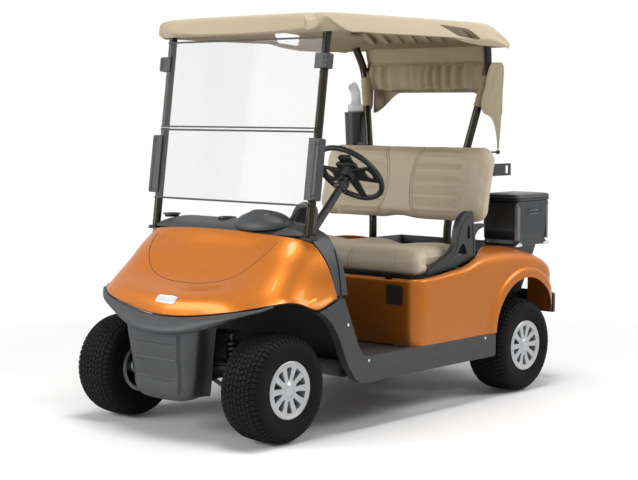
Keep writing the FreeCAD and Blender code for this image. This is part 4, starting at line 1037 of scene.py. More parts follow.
def roof_height(x, y):
    """The roof's outside: a smooth least of its side view and its cross section.

    Both fall by up to 90 mm towards the two rear corners, and a water channel 22 mm deep runs off
    the driver's front corner.
    """
    spine = spline(ROOF_SPINE, 400)
    crown = spline(ROOF_CROWN, 400)
    along = np.interp(x, spine[:, 0], spine[:, 1])
    across = np.interp(np.abs(y), crown[:, 0], crown[:, 1])
    corner = np.clip((-430 - x) / 260, 0, 1) ** 1.5 * np.clip((np.abs(y) - 410) / 110, 0, 1) ** 1.2
    along, across = along - REAR_FALL * corner, across - REAR_FALL * corner
    run = (x - 655) * 0.746 + (y - 424) * 0.666
    aside = (y - 424) * 0.746 - (x - 655) * 0.666
    channel = soft_step(-190, -150, run) * soft_step(32, 20, np.abs(aside))
    return (-5 * np.log(np.exp(-(along - 1800) / 5) + np.exp(-(across - 1800) / 5)) + 1800
            - CHANNEL_DEPTH * channel)


def roof_points(around):
    """Rings from the roof's middle line out to its edge, down the fascia and back underneath.

    A ring at share s lies s of the way from the middle line to the outline. The fascia's rings
    stand at the outline plus a small reach along its normal, and the front one is undercut.
    """
    half = np.array(ROOF_HALF_PLAN, float)
    plan = np.concatenate([half, half[-2:0:-1] * (1, -1)])
    outline = closed_spline(plan, around)
    tangent = np.roll(outline, -1, axis=0) - np.roll(outline, 1, axis=0)
    normal = np.stack([tangent[:, 1], -tangent[:, 0]], axis=1)
    normal /= np.linalg.norm(normal, axis=1, keepdims=True)
    normal *= np.sign((normal * outline).sum(axis=1))[:, None]
    middle = np.stack([np.clip(outline[:, 0], -420, 330) * 0.9, np.zeros(around)], axis=1)
    shares = 1 - (1 - np.linspace(0, 1, 44)) ** 1.6
    rings = []
    for share in shares:
        flat = middle + (outline - middle) * share
        rings.append(np.column_stack([flat, roof_height(flat[:, 0], flat[:, 1])]))
    edge = rings[-1][:, 2]
    lip = np.minimum(np.interp(outline[:, 0], *np.array(ROOF_LIP, float).T), edge - 5)
    front = soft_step(560, 660, outline[:, 0])
    for share, reach, tuck in ((0.12, 0.8, 0), (0.35, 1.2, 0), (0.5, 0.8, 2), (0.62, -0.5, 9),
                               (0.8, -1, 18), (0.93, -2, 24), (1.0, -4.5, ROOF_TUCK)):
        flat = outline + normal * (reach - tuck * front)[:, None]
        rings.append(np.column_stack([flat, edge + (lip - edge) * share]))
    for reach, rise in ((-7.5, 1.5), (-8.5, 5)):
        flat = outline + normal * (reach - ROOF_TUCK * front)[:, None]
        rings.append(np.column_stack([flat, lip + rise]))
    inner = roof_height(*(outline + normal * (-14 - ROOF_TUCK * front)[:, None]).T) - 8
    for share in (0.35, 0.7, 0.92):
        flat = outline + normal * (-9 - 5 * share - ROOF_TUCK * front)[:, None]
        rise = np.maximum((inner - lip - 5) * share, 0)
        rings.append(np.column_stack([flat, lip + 5 + rise]))
    for share in shares[-2::-1]:
        reach = share * 0.94
        flat = middle + (outline - middle) * reach
        rings.append(np.column_stack([flat, roof_height(flat[:, 0], flat[:, 1]) - 7]))
    return np.stack(rings)


class CART_OT_roof(bpy.types.Operator):
    """Make the moulded roof with its fascia, hand holds, ribs and water notch"""
    bl_idname = "cart.roof"
    bl_label = "Roof"

    def execute(self, context):
        tan = materials["tan_plastic"]
        roof = grid_object("roof_moulding", roof_points(400), tan, wrap_columns=True, merge=0.02)
        hold = astern(np.array([631, 415, 373, 545]))
        outline = rounded_corners(np.stack([hold, (1774, 1762, 1708, 1721)], axis=1), 22)
        carved(roof, [extruded("cut", outline, 1, *reach, tan)
                      for reach in ((-600, -490), (490, 600))])
        ribs = []
        rib = rounded_corners([(-690, 1790), (-690, 1778), (-742, 1742), (-772, 1724), (-784, 1724),
                               (-770, 1738), (-740, 1760)], 6)
        for y in np.arange(-413, 380, 88):
            forward = np.interp(abs(y + 17), (150, 290, 394, 444), (0, 4, 18, 36))
            piece = extruded("rib", rib + (forward, 0), 1, y, y + 34, tan)
            ribs.append(bevelled(piece, 5, 3, 40))
        place(by_angle(roof, 38), "chassis", "tan_plastic", "roof")
        place(by_angle(joined("roof_ribs", ribs), 50), "chassis", "tan_plastic")
        pads = []
        for side in (-1, 1):
            for x, y in ((ahead(-321), 474), (astern(104), 418)):
                nearby = roof_height(x + np.array((-24, 24, 0, 0)), y + np.array((0, 0, -24, 24)))
                centre = (x, side * y, nearby.min() - 7.5)
                pads.append(turned("pad", [(0, 0), (0, 20), (-4, 26), (-16, 28), (-16, 0)],
                                   centre, tan, axis=(0, 0, 1), count=24))
        place(joined("roof_pads", pads), "chassis", "tan_plastic")
        return {"FINISHED"}


# Bumper and dash

class CART_OT_bumper(bpy.types.Operator):
    """Make the grey bumper's lip and its fluted face"""
    bl_idname = "cart.bumper"
    bl_label = "Front bumper"

    def execute(self, context):
        grey = materials["grey_plastic"]
        rows = (((196, 0, 510), (190, 100, 513), (175, 200, 523), (159, 300, 538),
                 (139, 400, 556), (97, 477, 572), (70, 520, 586)),
                ((226, 0, 506), (220, 100, 509), (204, 200, 519), (182, 300, 534),
                 (156, 400, 552), (105, 485, 570), (73, 525, 585)),
                ((250, 0, 480), (245, 100, 485), (228, 200, 496), (204, 300, 514),
                 (172, 400, 535), (111, 491, 560), (75, 530, 580)),
                ((262, 0, 454), (258, 100, 458), (235, 200, 470), (203, 300, 496),
                 (168, 400, 532), (105, 489, 560), (73, 528, 577)),
                ((258, 0, 446), (254, 100, 450), (230, 200, 463), (197, 300, 491),
                 (163, 400, 530), (101, 486, 559), (70, 524, 576)),
                ((232, 0, 448), (228, 100, 452), (206, 200, 466), (178, 300, 495),
                 (148, 400, 534), (92, 475, 562), (64, 512, 579)))
        half = np.stack([spline(from_front(row), 91) for row in rows])
        lip = grid_object("bumper_lip", whole_width(spline(half, 46)), grey, sight=(1, 0, 0))
        thick(lip, 3.5)

        rows = (((200, 0, 150), (202, 90, 154), (196, 146, 162), (182, 166, 168),
                 (128, 158, 170), (92, 174, 170)),
                ((207, 0, 158), (209, 90, 162), (203, 146, 170), (189, 169, 176),
                 (129, 161, 178), (93, 177, 178)),
                ((216, 0, 245), (218, 100, 247), (211, 162, 252), (196, 186, 254),
                 (135, 178, 255), (99, 194, 255)),
                ((221, 0, 338), (224, 110, 338), (216, 176, 338), (200, 200, 338),
                 (140, 192, 338), (104, 208, 338)),
                ((223, 0, 410), (226, 116, 410), (219, 187, 410), (204, 213, 410),
                 (146, 205, 410), (109, 222, 410)),
                ((224, 0, 474), (227, 120, 474), (221, 196, 474), (206, 223, 474),
                 (150, 215, 474), (112, 234, 474)))
        half = np.stack([spline(from_front(row), 121) for row in rows])
        points = whole_width(spline(half, 221))
        normal = -surface_normals(points)
        normal *= np.sign(normal[..., :1] + 1e-9)
        y, z = points[..., 1], points[..., 2]
        depth = np.zeros_like(y)
        for low in (409, 391, 330, 312, 252, 234):
            depth += soft_step(low - 1, low + 1, z) * soft_step(low + 5, low + 3, z) * 2.2
        depth *= soft_step(-176, -168, y) * soft_step(96, 88, y)
        flute = bump_at(122, 15, y) * soft_step(168, 200, z) * soft_step(462, 430, z)
        points = points - normal * (depth + 9 * flute)[..., None]
        face = thick(grid_object("bumper_face", points, grey, sight=(1, 0, 0)), 4)
        stays = [extruded("stay", rounded_box_section(72, 26, 5) + (ahead(177), 270), 1,
                          side * 80 - 17, side * 80 + 17, grey) for side in (-1, 1)]
        whole = joined("bumper_moulding", [lip, face, *stays])
        place(by_angle(whole, 44), "chassis", "grey_plastic", "front_bumper")
        return {"FINISHED"}


DASH_SEAM = ((0, -115), (100, -117), (200, -122), (290, -130), (340, -140), (395, -150),
             (430, -162), (455, -172), (475, -182), (489, -190), (503, -199), (532, -240),
             (548, -264), (556, -280))
DASH_CROWN = ((0, 912), (150, 911), (300, 908), (390, 890), (450, 866), (486, 845), (504, 819),
              (520, 783), (532, 750), (548, 667), (554, 612), (556, 590))


def dash_points(along, across):
    """The dash's skin: its side view carried across, held under the crown line.

    Each column starts at the nose's seam; its height is a smooth least of the side view's and
    the crown's at that width.
    """
    side = np.array([(-112, 853), (-136, 874), (-160, 885), (-200, 896), (-235, 903),
                     (-262, 903), (-284, 896), (-298, 884), (-306, 868), (-318, 830),
                     (-340, 745), (-357, 655), (-359, 606)], float)
    line = polyline(spline(side, 400), along)
    y = np.concatenate([np.linspace(0, 480, across - 34), np.linspace(482, 555.5, 34)])
    crown = np.interp(y, *spline(DASH_CROWN, 400).T)
    seam = np.interp(y, *np.array(DASH_SEAM, float).T) - 7
    share = np.linspace(0, 1, along)[:, None]
    x = line[:, :1] + (seam - line[0, 0])[None, :] * soft_step(0.55, 0.0, share)
    x = np.minimum(x, seam[None, :] - share * 2)
    z = line[:, 1:]
    z = -4 * np.log(np.exp(-(z - 800) / 4) + np.exp(-(crown[None, :] - 800) / 4)) + 800
    half = np.stack([ahead(x), np.broadcast_to(y, x.shape), z], axis=-1)
    return whole_width(half)


class CART_OT_dash(bpy.types.Operator):
    """Make the dash moulding with its instrument pod, ridge, holders and grab bar"""
    bl_idname = "cart.dash"
    bl_label = "Dash"

    def execute(self, context):
        grey = materials["grey_plastic"]
        skin = thick(grid_object("dash_skin", dash_points(90, 121), grey, sight=(-0.5, 0, 1)), 4)
        pod = self.pod(grey)
        bar_path = rounded_path(from_front([(-258, 300, 885), (-300, 335, 965), (-300, 430, 968),
                                            (-258, 446, 862)]), 26, 10)
        bar = swept("bar", bar_path, circle(10.5, 24), grey)
        lip = extruded("toe_lip", from_front([(-317, 578), (-317, 589), (-350, 617), (-355, 617),
                                              (-355, 607), (-323, 580)]), 1, -548, 548, grey)
        whole = joined("dash_moulding", [skin, pod, bar, lip])
        place(by_angle(whole, 42), "chassis", "grey_plastic", "dash")
        self.fittings()
        return {"FINISHED"}

    def pod(self, grey):
        """A dome, radius by the ellipse of its three half sizes, with a stepped ridge on it."""
        a = np.linspace(0, 2 * np.pi, 97)[:-1]
        b = np.linspace(0, np.pi / 2, 34)
        b, a = np.meshgrid(b, a, indexing="ij")
        rise = 58 * np.sin(b)
        x = 88 * np.cos(b) * np.cos(a)
        y = 150 * np.cos(b) * np.sin(a)
        step = soft_step(-16, -11, x) * soft_step(62, 50, np.abs(y))
        step = step * soft_step(0.2, 0.5, np.sin(b))
        slots = bump_at(0, 3.2, np.mod(y + 8, 16) - 8) * soft_step(20, 14, np.abs(x - 4))
        slots = slots * soft_step(50, 44, np.abs(y))
        lift = rise + 7 * step * soft_step(46, 34, x) - 3.5 * slots * step
        turn = math.radians(14)
        points = np.stack([x * math.cos(turn) + lift * math.sin(turn) - 205 + FRONT_AXLE,
                           y + 205, -x * math.sin(turn) + lift * math.cos(turn) + 889], axis=-1)
        return grid_object("pod", points, grey, wrap_columns=True, merge=0.05, sight=(0, 0, 1))

    def fittings(self):
        """The switch panel, key switch, drink holders and glove pockets on the dash's rear face."""
        black = materials["black_plastic"]
        face = []
        for y, wide, z, tall in ((118, 96, 806, 46), (-250, 300, 776, 92)):
            outline = rounded_box_section(wide, tall, 9) + (y, z)
            face.append(extruded("panel", outline, 0, 0, 3, black,
                                 holes=[rounded_box_section(wide - 12, tall - 12, 6) + (y, z)]))
            inner = rounded_box_section(wide - 14, tall - 14, 5) + (y, z)
            face.append(extruded("panel_in", inner, 0, 0.2, 1.4, black))
        for y in (95, 141):
            face.append(extruded("switch", rounded_box_section(20, 30, 3) + (y, 806), 0, 1, 6,
                                 black))
        for piece in face:
            self.lean(bevelled(piece, 1.0, 2))
        panels = joined("dash_panels", face)
        place(by_angle(panels, 30), "chassis", "black_plastic")
        key = turned("key_switch", [(0, 0), (0, 15), (4, 14), (5, 11), (9, 10.5), (10, 8), (10, 0)],
                     (0, 45, 806), materials["bright_trim"], axis=(1, 0, 0), count=36)
        self.lean(key)
        place(key, "chassis", "wheel_silver")
        rings = []
        for y in (-60, -420):
            centre = (ahead(-250), y, 904.5)
            rings.append(turned("cup", [(-14, 0), (-14, 32), (0, 35), (3, 38), (2, 41), (-2, 42)],
                                centre, black, axis=(0, 0, 1), count=48))
        place(joined("dash_cup_rings", rings), "chassis", "black_plastic")

    def lean(self, piece):
        """Moves a piece drawn at x = 0 onto the rear face: x follows the face at its height."""
        at = vertex_rows(piece.data) / MM
        face = np.interp(at[:, 2], (606, 655, 745, 830, 868), (-359, -357, -340, -318, -306))
        at[:, 0] = ahead(face) - at[:, 0]
        set_places(piece.data, at * MM)
        piece.data.flip_normals()


# Struts and screen

def strut_at(height, forward=0.0):
    """A front strut's place in the side view at a height, and a reach in front of it."""
    lean = 116 / 854
    square = math.hypot(1, lean)
    return (FRONT_AXLE - 204 - lean * (height - 859) + forward / square,
            height + forward * lean / square)


class CART_OT_struts(bpy.types.Operator):
    """Make the four roof struts with their feet and bolts"""
    bl_idname = "cart.struts"
    bl_label = "Roof struts"

    def execute(self, context):
        bronze = materials["strut_steel"]
        path = rounded_path(from_front([(-202, STRUT_Y, 852), (-299, STRUT_Y, 1560),
                                        (-320, STRUT_Y, 1722)]), 120, 12)
        tube = swept("front_strut", path, circle(18.8, 36), bronze)
        groove = swept("front_strut_rib", path + (19.0, 0, 0), circle(2.4, 8), bronze)
        foot = extruded("foot", rounded_box_section(60, 52, 12) + (ahead(-202), STRUT_Y),
                        2, 845.5, 852, bronze)
        bolts = [turned("bolt", [(0, 0), (0, 7.5), (4, 7.5), (6.5, 5), (7, 0)],
                        (ahead(-202 + dx), STRUT_Y + dy, 852), bronze, axis=(0, 0, 1),
                        count=18)
                 for dx, dy in ((-22, 17), (22, -17))]
        front = joined("front_struts_tube", [tube, groove, bevelled(foot, 1.6, 2), *bolts])
        both_sides(front)
        place(by_angle(front, 40), "chassis", "strut_steel", "front_struts")

        rear = from_rear([(178, 250, 303.5), (175, 236, 820), (115, 316, 1214), (58, 393, 1583),
                          (104, 418, 1703)])
        tube = swept("rear_strut", rounded_path(rear, 75, 12), circle(19.8, 36), bronze)
        both_sides(tube)
        bow = swept("cover_bow", rounded_path(from_rear([(61, 390, 1592), (-15, 394, 1600),
                                                         (-15, -394, 1600), (61, -390, 1592)]),
                                              36, 10), circle(8, 16), bronze)
        whole = joined("rear_struts_tube", [tube, bow])
        place(by_angle(whole, 40), "chassis", "strut_steel", "rear_struts")
        return {"FINISHED"}


class CART_OT_screen(bpy.types.Operator):
    """Make the clear screen's edge trims, middle hinge strip and clips"""
    bl_idname = "cart.screen"
    bl_label = "Screen"

    def execute(self, context):
        grey = materials["grey_plastic"]
        whole = joined("screen_panes", [self.pane(975, 1292), self.pane(1300, 1690)])
        place(whole, "chassis", "clear_sheet", "windshield")

        def run(height, forward, half, count):
            x, z = strut_at(height, forward)
            return polyline([(x, -half, z), (x, half, z)], count)
        trims = [swept("trim", run(height, 24.7, 477, 40), rounded_box_section(tall, 8.5, 2, 3),
                       grey) for height, tall in ((978, 7), (1289, 5), (1303, 5), (1687, 7))]
        place(by_angle(joined("screen_trims", trims), 40), "chassis", "grey_plastic")
        bright = [swept("bright", run(height, 29.6, 474, 30), circle(1.0, 8),
                        materials["bright_trim"]) for height in (1295.8, 1298.6)]
        place(joined("screen_bright_lines", bright), "chassis", "wheel_silver")

        clips = []
        for low, high in ((1000, 1262), (1556, 1621)):
            outline = rounded_corners([strut_at(low, -9), strut_at(low, 35), strut_at(high, 35),
                                       strut_at(high, -9)], 9)
            wrap = extruded("wrap", outline, 1, 489, 515, grey)
            flat = rounded_corners([strut_at(low, 27.2), strut_at(low, 35), strut_at(high, 35),
                                    strut_at(high, 27.2)], 3)
            front = extruded("flat", flat, 1, 454 if low < 1200 else 446, 500, grey)
            clips += [bevelled(wrap, 3.0), bevelled(front, 3.0)]
            for height in (low + 22, high - 22):
                x, z = strut_at(height, 35)
                clips.append(turned("screw", [(0, 0), (0, 7), (2.2, 6), (3.2, 3.5), (3.2, 0)],
                                    (x, 502, z), grey, axis=(0.99, 0, 0.135), count=18))
        whole = both_sides(joined("screen_clips", clips))
        place(by_angle(whole, 34), "chassis", "grey_plastic", "windshield_clips")
        return {"FINISHED"}

    def pane(self, low, high):
        """A pane of even thickness: a rounded box's outline at two reaches ahead of the struts."""
        outline = rounded_box_section(950, high - low, 16, 8) + (0, (low + high) / 2)
        count = len(outline)
        points = []
        for reach in (26.8, 22.2):
            for y, height in outline:
                x, z = strut_at(height, reach)
                points.append((x * MM, y * MM, z * MM))
        i = np.arange(count)
        sides = np.stack([i, (i + 1) % count, (i + 1) % count + count, i + count], axis=1)
        mesh = bpy.data.meshes.new("pane")
        mesh.from_pydata(points, [], [list(range(count)), list(range(2 * count - 1, count - 1, -1)),
                                      *sides.tolist()])
        return put_right(linked("pane", mesh, materials["clear_sheet"]))


# Wheels

TYRE_SECTION = (
    (-86, 102.4), (-91, 108), (-94, 117), (-99, 130), (-104, 148), (-107.5, 168), (-107, 184),
    (-103.5, 197), (-98, 207), (-91, 214.5), (-82, 220), (-70, 224.3), (-50, 227), (-25, 228.3),
    (0, 228.6), (25, 228.3), (50, 227), (70, 224.3), (82, 220), (91, 214.5), (98, 207),
    (103.5, 197), (107, 184), (107.5, 168), (104, 148), (99, 130), (94, 117), (91, 108),
    (86, 102.4),
)


TREAD_BLOCKS = 58
TREAD_ROW = 22.0
POCKETS = 10
LUG_HOLES = 4


def tread_depth(across, round_about):
    """How deep the tread's grooves are at a width and a distance round the tyre, in mm.

    Seven rows of blocks run round the crown. Every row has slanted cross grooves, half a pitch
    apart from its neighbours', and narrow grooves wander between the rows as a sine does.
    """
    pitch = 2 * np.pi * TYRE_RADIUS / TREAD_BLOCKS
    wander = 2.6 * np.sin(round_about * 2 * np.pi / pitch)
    level = (across + wander) / TREAD_ROW
    row = np.floor(level + 0.5)
    between = np.abs(level - row) * TREAD_ROW
    groove = soft_step(8.2, 10.0, between)
    slant = across * 0.46 * np.where(np.mod(row, 2) == 0, 1, -1)
    phase = np.mod((round_about + slant) / pitch + 0.5 * row, 1.0)
    cross = soft_step(0.115, 0.065, np.abs(phase - 0.5))
    sipe = soft_step(0.035, 0.015, np.abs(np.mod(phase + 0.5, 1.0) - 0.5)) * 0.35
    crown = soft_step(88, 76, np.abs(across))
    shoulder = soft_step(74, 82, np.abs(across)) * soft_step(104.5, 99, np.abs(across))
    lug = soft_step(0.16, 0.10, np.abs(np.mod(round_about / pitch, 1.0) - 0.5))
    return 5.5 * np.maximum(groove, np.maximum(cross, sipe)) * crown + 5.0 * shoulder * lug


def tyre_mesh(name, centre, outward, around=522):
    """The tyre: its closed section turned, less the tread's depth along the section's normal."""
    outer = spline(TYRE_SECTION, 400)
    crown = (np.abs(outer[:, 0]) < 95) & (outer[:, 1] > 200)
    weight = np.where(crown, 1.0, 0.32)
    length = np.linalg.norm(np.diff(outer, axis=0), axis=1) * (weight[1:] + weight[:-1]) / 2
    t = np.concatenate([[0], np.cumsum(length)])
    s = np.linspace(0, t[-1], 118)
    section = np.stack([np.interp(s, t, outer[:, 0]), np.interp(s, t, outer[:, 1])], axis=1)
    tangent = np.gradient(section, axis=0)
    normal = np.stack([-tangent[:, 1], tangent[:, 0]], axis=1)
    normal /= np.linalg.norm(normal, axis=1, keepdims=True)
    angle = np.arange(around) * 2 * np.pi / around
    y, r = section[:, :1], section[:, 1:]
    depth = tread_depth(y * np.ones((1, around)), angle[None, :] * TYRE_RADIUS)
    depth = depth * soft_step(196, 205, r)
    ring = 0.9 * bump_at(150, 3.5, r) + 0.9 * bump_at(135, 3.5, r) + 0.6 * bump_at(178, 2.5, r)
    fine = 0.35 * (0.5 + 0.5 * np.cos(angle[None, :] * 174)) * soft_step(151, 156, r)
    fine = fine * soft_step(176, 171, r)
    move = ring + fine - depth
    y2 = (y + normal[:, :1] * move) * outward
    r2 = r + normal[:, 1:] * move
    lining = np.array([(80, 104), (60, 112), (0, 118), (-60, 112), (-80, 104)], float)
    y2 = np.concatenate([y2, np.repeat(lining[:, :1] * outward, around, axis=1)])
    r2 = np.concatenate([r2, np.repeat(lining[:, 1:], around, axis=1)])
    points = np.stack([r2 * np.cos(angle), y2, r2 * np.sin(angle)], axis=-1) + centre
    obj = grid_object(name, points, materials["tyre"], wrap_rows=True, wrap_columns=True)
    tread = np.concatenate([np.clip(1 - depth / 3.0, 0, 1) * soft_step(205, 215, r),
                            np.zeros((len(lining), around))])
    return paint_value(obj, "tread", tread)


def rim_face(name, centre, outward):
    """The wheel cover: its depth is a function of the distance and the angle from the hub.

    Ten pockets are cut between the spokes: each is a wedge whose half width grows with the
    distance from the hub, and its floor lies 22 mm behind the spokes.
    """
    r = np.concatenate([[0.5], np.linspace(6, 34, 12), np.linspace(35.5, 108, 62),
                        np.linspace(109, 123, 12)])[:, None]
    a = (np.arange(360) * 2 * np.pi / 360)[None, :]
    dish = np.interp(r, (0, 12, 24, 30, 36, 46, 60, 80, 98, 106, 112, 116, 120, 123),
                     (102.5, 103.2, 102.0, 97.5, 95.0, 93.8, 93.2, 94.2, 97.0, 99.5, 102.0, 103.6,
                      103.0, 99.0))
    step = 2 * np.pi / POCKETS
    off = (np.mod(a, step) - step / 2) * r
    half = 3.0 + (r - 44) * 0.245
    half = half * soft_step(41, 50, r) * (1 - 0.45 * soft_step(90, 103, r))
    inside = soft_step(0.6, -1.6, np.abs(off) - half)
    inside = inside * soft_step(43, 48, r) * soft_step(104.5, 100, r)
    ridge = 1.8 * soft_step(40, 60, r) * soft_step(108, 96, r) * (1 - inside)
    ridge = ridge * np.clip(1 - np.abs(np.abs(off) - half - 4) / 6, 0, 1)
    ring = 1.2 * bump_at(33, 2.4, r)
    depth = dish + ridge + ring - 22 * inside
    lugs = np.mod(a, 2 * np.pi / LUG_HOLES) - np.pi / LUG_HOLES
    lug = np.hypot(r - 19, lugs * 19)
    depth = depth - 2.2 * soft_step(3.2, 2.0, lug)
    points = np.stack([r * np.cos(a), depth * outward * np.ones_like(a), r * np.sin(a)], axis=-1)
    obj = grid_object(name, points + centre, materials["wheel_silver"], wrap_columns=True,
                      sight=(0, outward, 0))
    return paint_value(obj, "hollow", soft_step(0.3, 0.9, inside) * np.ones_like(a))


class CART_OT_wheels(bpy.types.Operator):
    """Make the four tyres with their tread and the four wheels with their covers"""
    bl_idname = "cart.wheels"
    bl_label = "Wheels"

    def execute(self, context):
        silver = materials["wheel_silver"]
        for end, x, track in (("front", FRONT_AXLE, FRONT_TRACK), ("rear", REAR_AXLE, REAR_TRACK)):
            for side, outward in (("left", 1), ("right", -1)):
                centre = np.array((x, outward * track / 2, TYRE_RADIUS))
                body = "wheel_%s_%s" % (end, side)
                tyre = tyre_mesh("tread_" + body, centre, outward)
                place(by_angle(tyre, 50), body, "tyre", "tyre_%s_%s" % (end, side))
                face = rim_face("cover_" + body, centre, outward)
                barrel = turned("barrel", [(-98, 97), (-98, 111), (-95, 112.2), (-92, 111),
                                           (-90.5, 103), (-88, 101.4), (-60, 100.6), (-52, 92),
                                           (40, 92), (52, 100.6), (88, 101.4), (90.5, 103),
                                           (92, 111), (95, 112.2), (98, 111.4), (99, 108),
                                           (98, 97), (40, 88), (-50, 88), (-58, 97)],
                                centre, silver, axis=(0, outward, 0), count=96, closed=True)
                hub = turned("hub", [(28, 0), (28, 90), (36, 90), (36, 28), (42, 22), (42, 0)],
                             centre, silver, axis=(0, outward, 0), count=48)
                back = turned("hub_back", [(28, 90), (28, 36), (-62, 36), (-66, 32), (-66, 13)],
                              centre, silver, axis=(0, outward, 0), count=48)
                for piece in (barrel, hub, back):
                    paint_value(piece, "hollow", np.zeros(len(piece.data.vertices)))
                wheel = joined("wheel_" + body, [face, barrel, hub, back])
                place(by_angle(wheel, 40), body, "wheel_silver", "rim_%s_%s" % (end, side))
        return {"FINISHED"}


# Sills, arms and steering

ROCKER_SIDE = (
    (-143, 544), (-190, 518), (-231, 482), (-262, 438), (-287, 388), (-332, 293), (-384, 226),
    (-424, 205), (-1427, 205), (-1427, 308), (-1420, 318), (-450, 318), (-428, 330), (-401, 374),
    (-343, 507), (-305, 590), (-272, 580), (-180, 549),
)


class CART_OT_sills(bpy.types.Operator):
    """Make the sill mouldings with their step ribs and screws"""
    bl_idname = "cart.sills"
    bl_label = "Sills"

    def execute(self, context):
        grey = materials["grey_plastic"]
        outline = rounded_corners(from_front(ROCKER_SIDE), 16)
        sill = bevelled(extruded("sill_left", outline, 1, 543.5, 585, grey), 6, 4, 40)
        screws = joined("sill_screws_left", [
            turned("screw", [(0, 0), (0, 7), (2, 6.4), (3.2, 3), (2.2, 2), (2.2, 0)],
                   (x, 584.6, z), materials["bright_trim"], count=20)
            for x, z in ((ahead(-470), 300), (astern(330), 300), (ahead(-330), 470))])
        rib = []
        for z in (226, 240, 254):
            path = polyline([(ahead(-440), 585, z), (astern(262), 585, z)], 60)
            rib.append(swept("rib", path, circle(1.8, 8), grey))
        left = by_angle(joined("sill_left", [sill, *rib]), 40)
        right = mirror_of("sill_right", left)
        place(left, "chassis", "grey_plastic", "rocker_left")
        place(right, "chassis", "grey_plastic", "rocker_right")
        other = mirror_of("sill_screws_right", screws)
        place(screws, "chassis", "wheel_silver")
        place(other, "chassis", "wheel_silver")
        return {"FINISHED"}


ARM_SIDE = (
    (718, 624), (700, 646), (652, 668), (600, 690), (556, 706), (530, 722), (512, 740),
    (500, 762), (492, 800), (483, 838), (466, 868), (440, 892), (418, 902), (395, 908),
    (366, 906), (358, 892), (356, 841.9), (262, 841.9), (264, 828), (316, 814), (343, 790),
    (343, 622), (367, 622), (376, 640), (388, 676), (424, 666), (520, 646), (600, 636),
)


class CART_OT_arms(bpy.types.Operator):
    """Make the two arms beside the seat that carry the backrest"""
    bl_idname = "cart.arms"
    bl_label = "Seat arms"

    def execute(self, context):
        black = materials["black_plastic"]
        window = rounded_corners(from_rear([(408, 704), (490, 704), (470, 742), (438, 760)]), 15)
        slot = rounded_corners(from_rear([(388, 776), (412, 776), (410, 836), (392, 836)]), 9)
        arm = extruded("arm", rounded_corners(from_rear(ARM_SIDE), 14), 1, 500, 530, black,
                       holes=[window, slot])
        inner = from_rear([(362, 690), (456, 672), (590, 652), (668, 642), (600, 672), (548, 690),
                           (512, 712), (488, 742), (474, 800), (460, 836), (430, 866), (398, 884),
                           (374, 880)])
        panel = extruded("panel", rounded_corners(inner, 12), 1, 528, 532.5, black,
                         holes=[window, slot])
        strip = from_rear([(345, 626), (358, 626), (362, 690), (362, 770), (370, 850), (352, 846),
                           (346, 770)])
        band = extruded("band", rounded_corners(strip, 6), 1, 529, 534, black)
        both_sides(bevelled(band, 1.5, 2, 40))
        place(by_angle(band, 34), "chassis", "black_plastic")
        whole = joined("seat_arms", [bevelled(arm, 5, 4, 40), bevelled(panel, 2, 2, 40)])
        place(by_angle(both_sides(whole), 34), "chassis", "black_plastic", "hip_restraints")
        return {"FINISHED"}


def tilted(points):
    """Places drawn round the steering wheel's own axis, turned and moved to where it stands."""
    points = np.asarray(points, float)
    c, s = math.cos(WHEEL_TILT), math.sin(WHEEL_TILT)
    x, y, z = points[..., 0], points[..., 1], points[..., 2]
    return np.stack([x * c + z * s, y, -x * s + z * c], axis=-1) + WHEEL_CENTRE


def tilt_mesh(obj):
    """Turns a piece drawn round the steering wheel's own axis to where the wheel stands."""
    set_places(obj.data, tilted(vertex_rows(obj.data) / MM) * MM)
    return obj


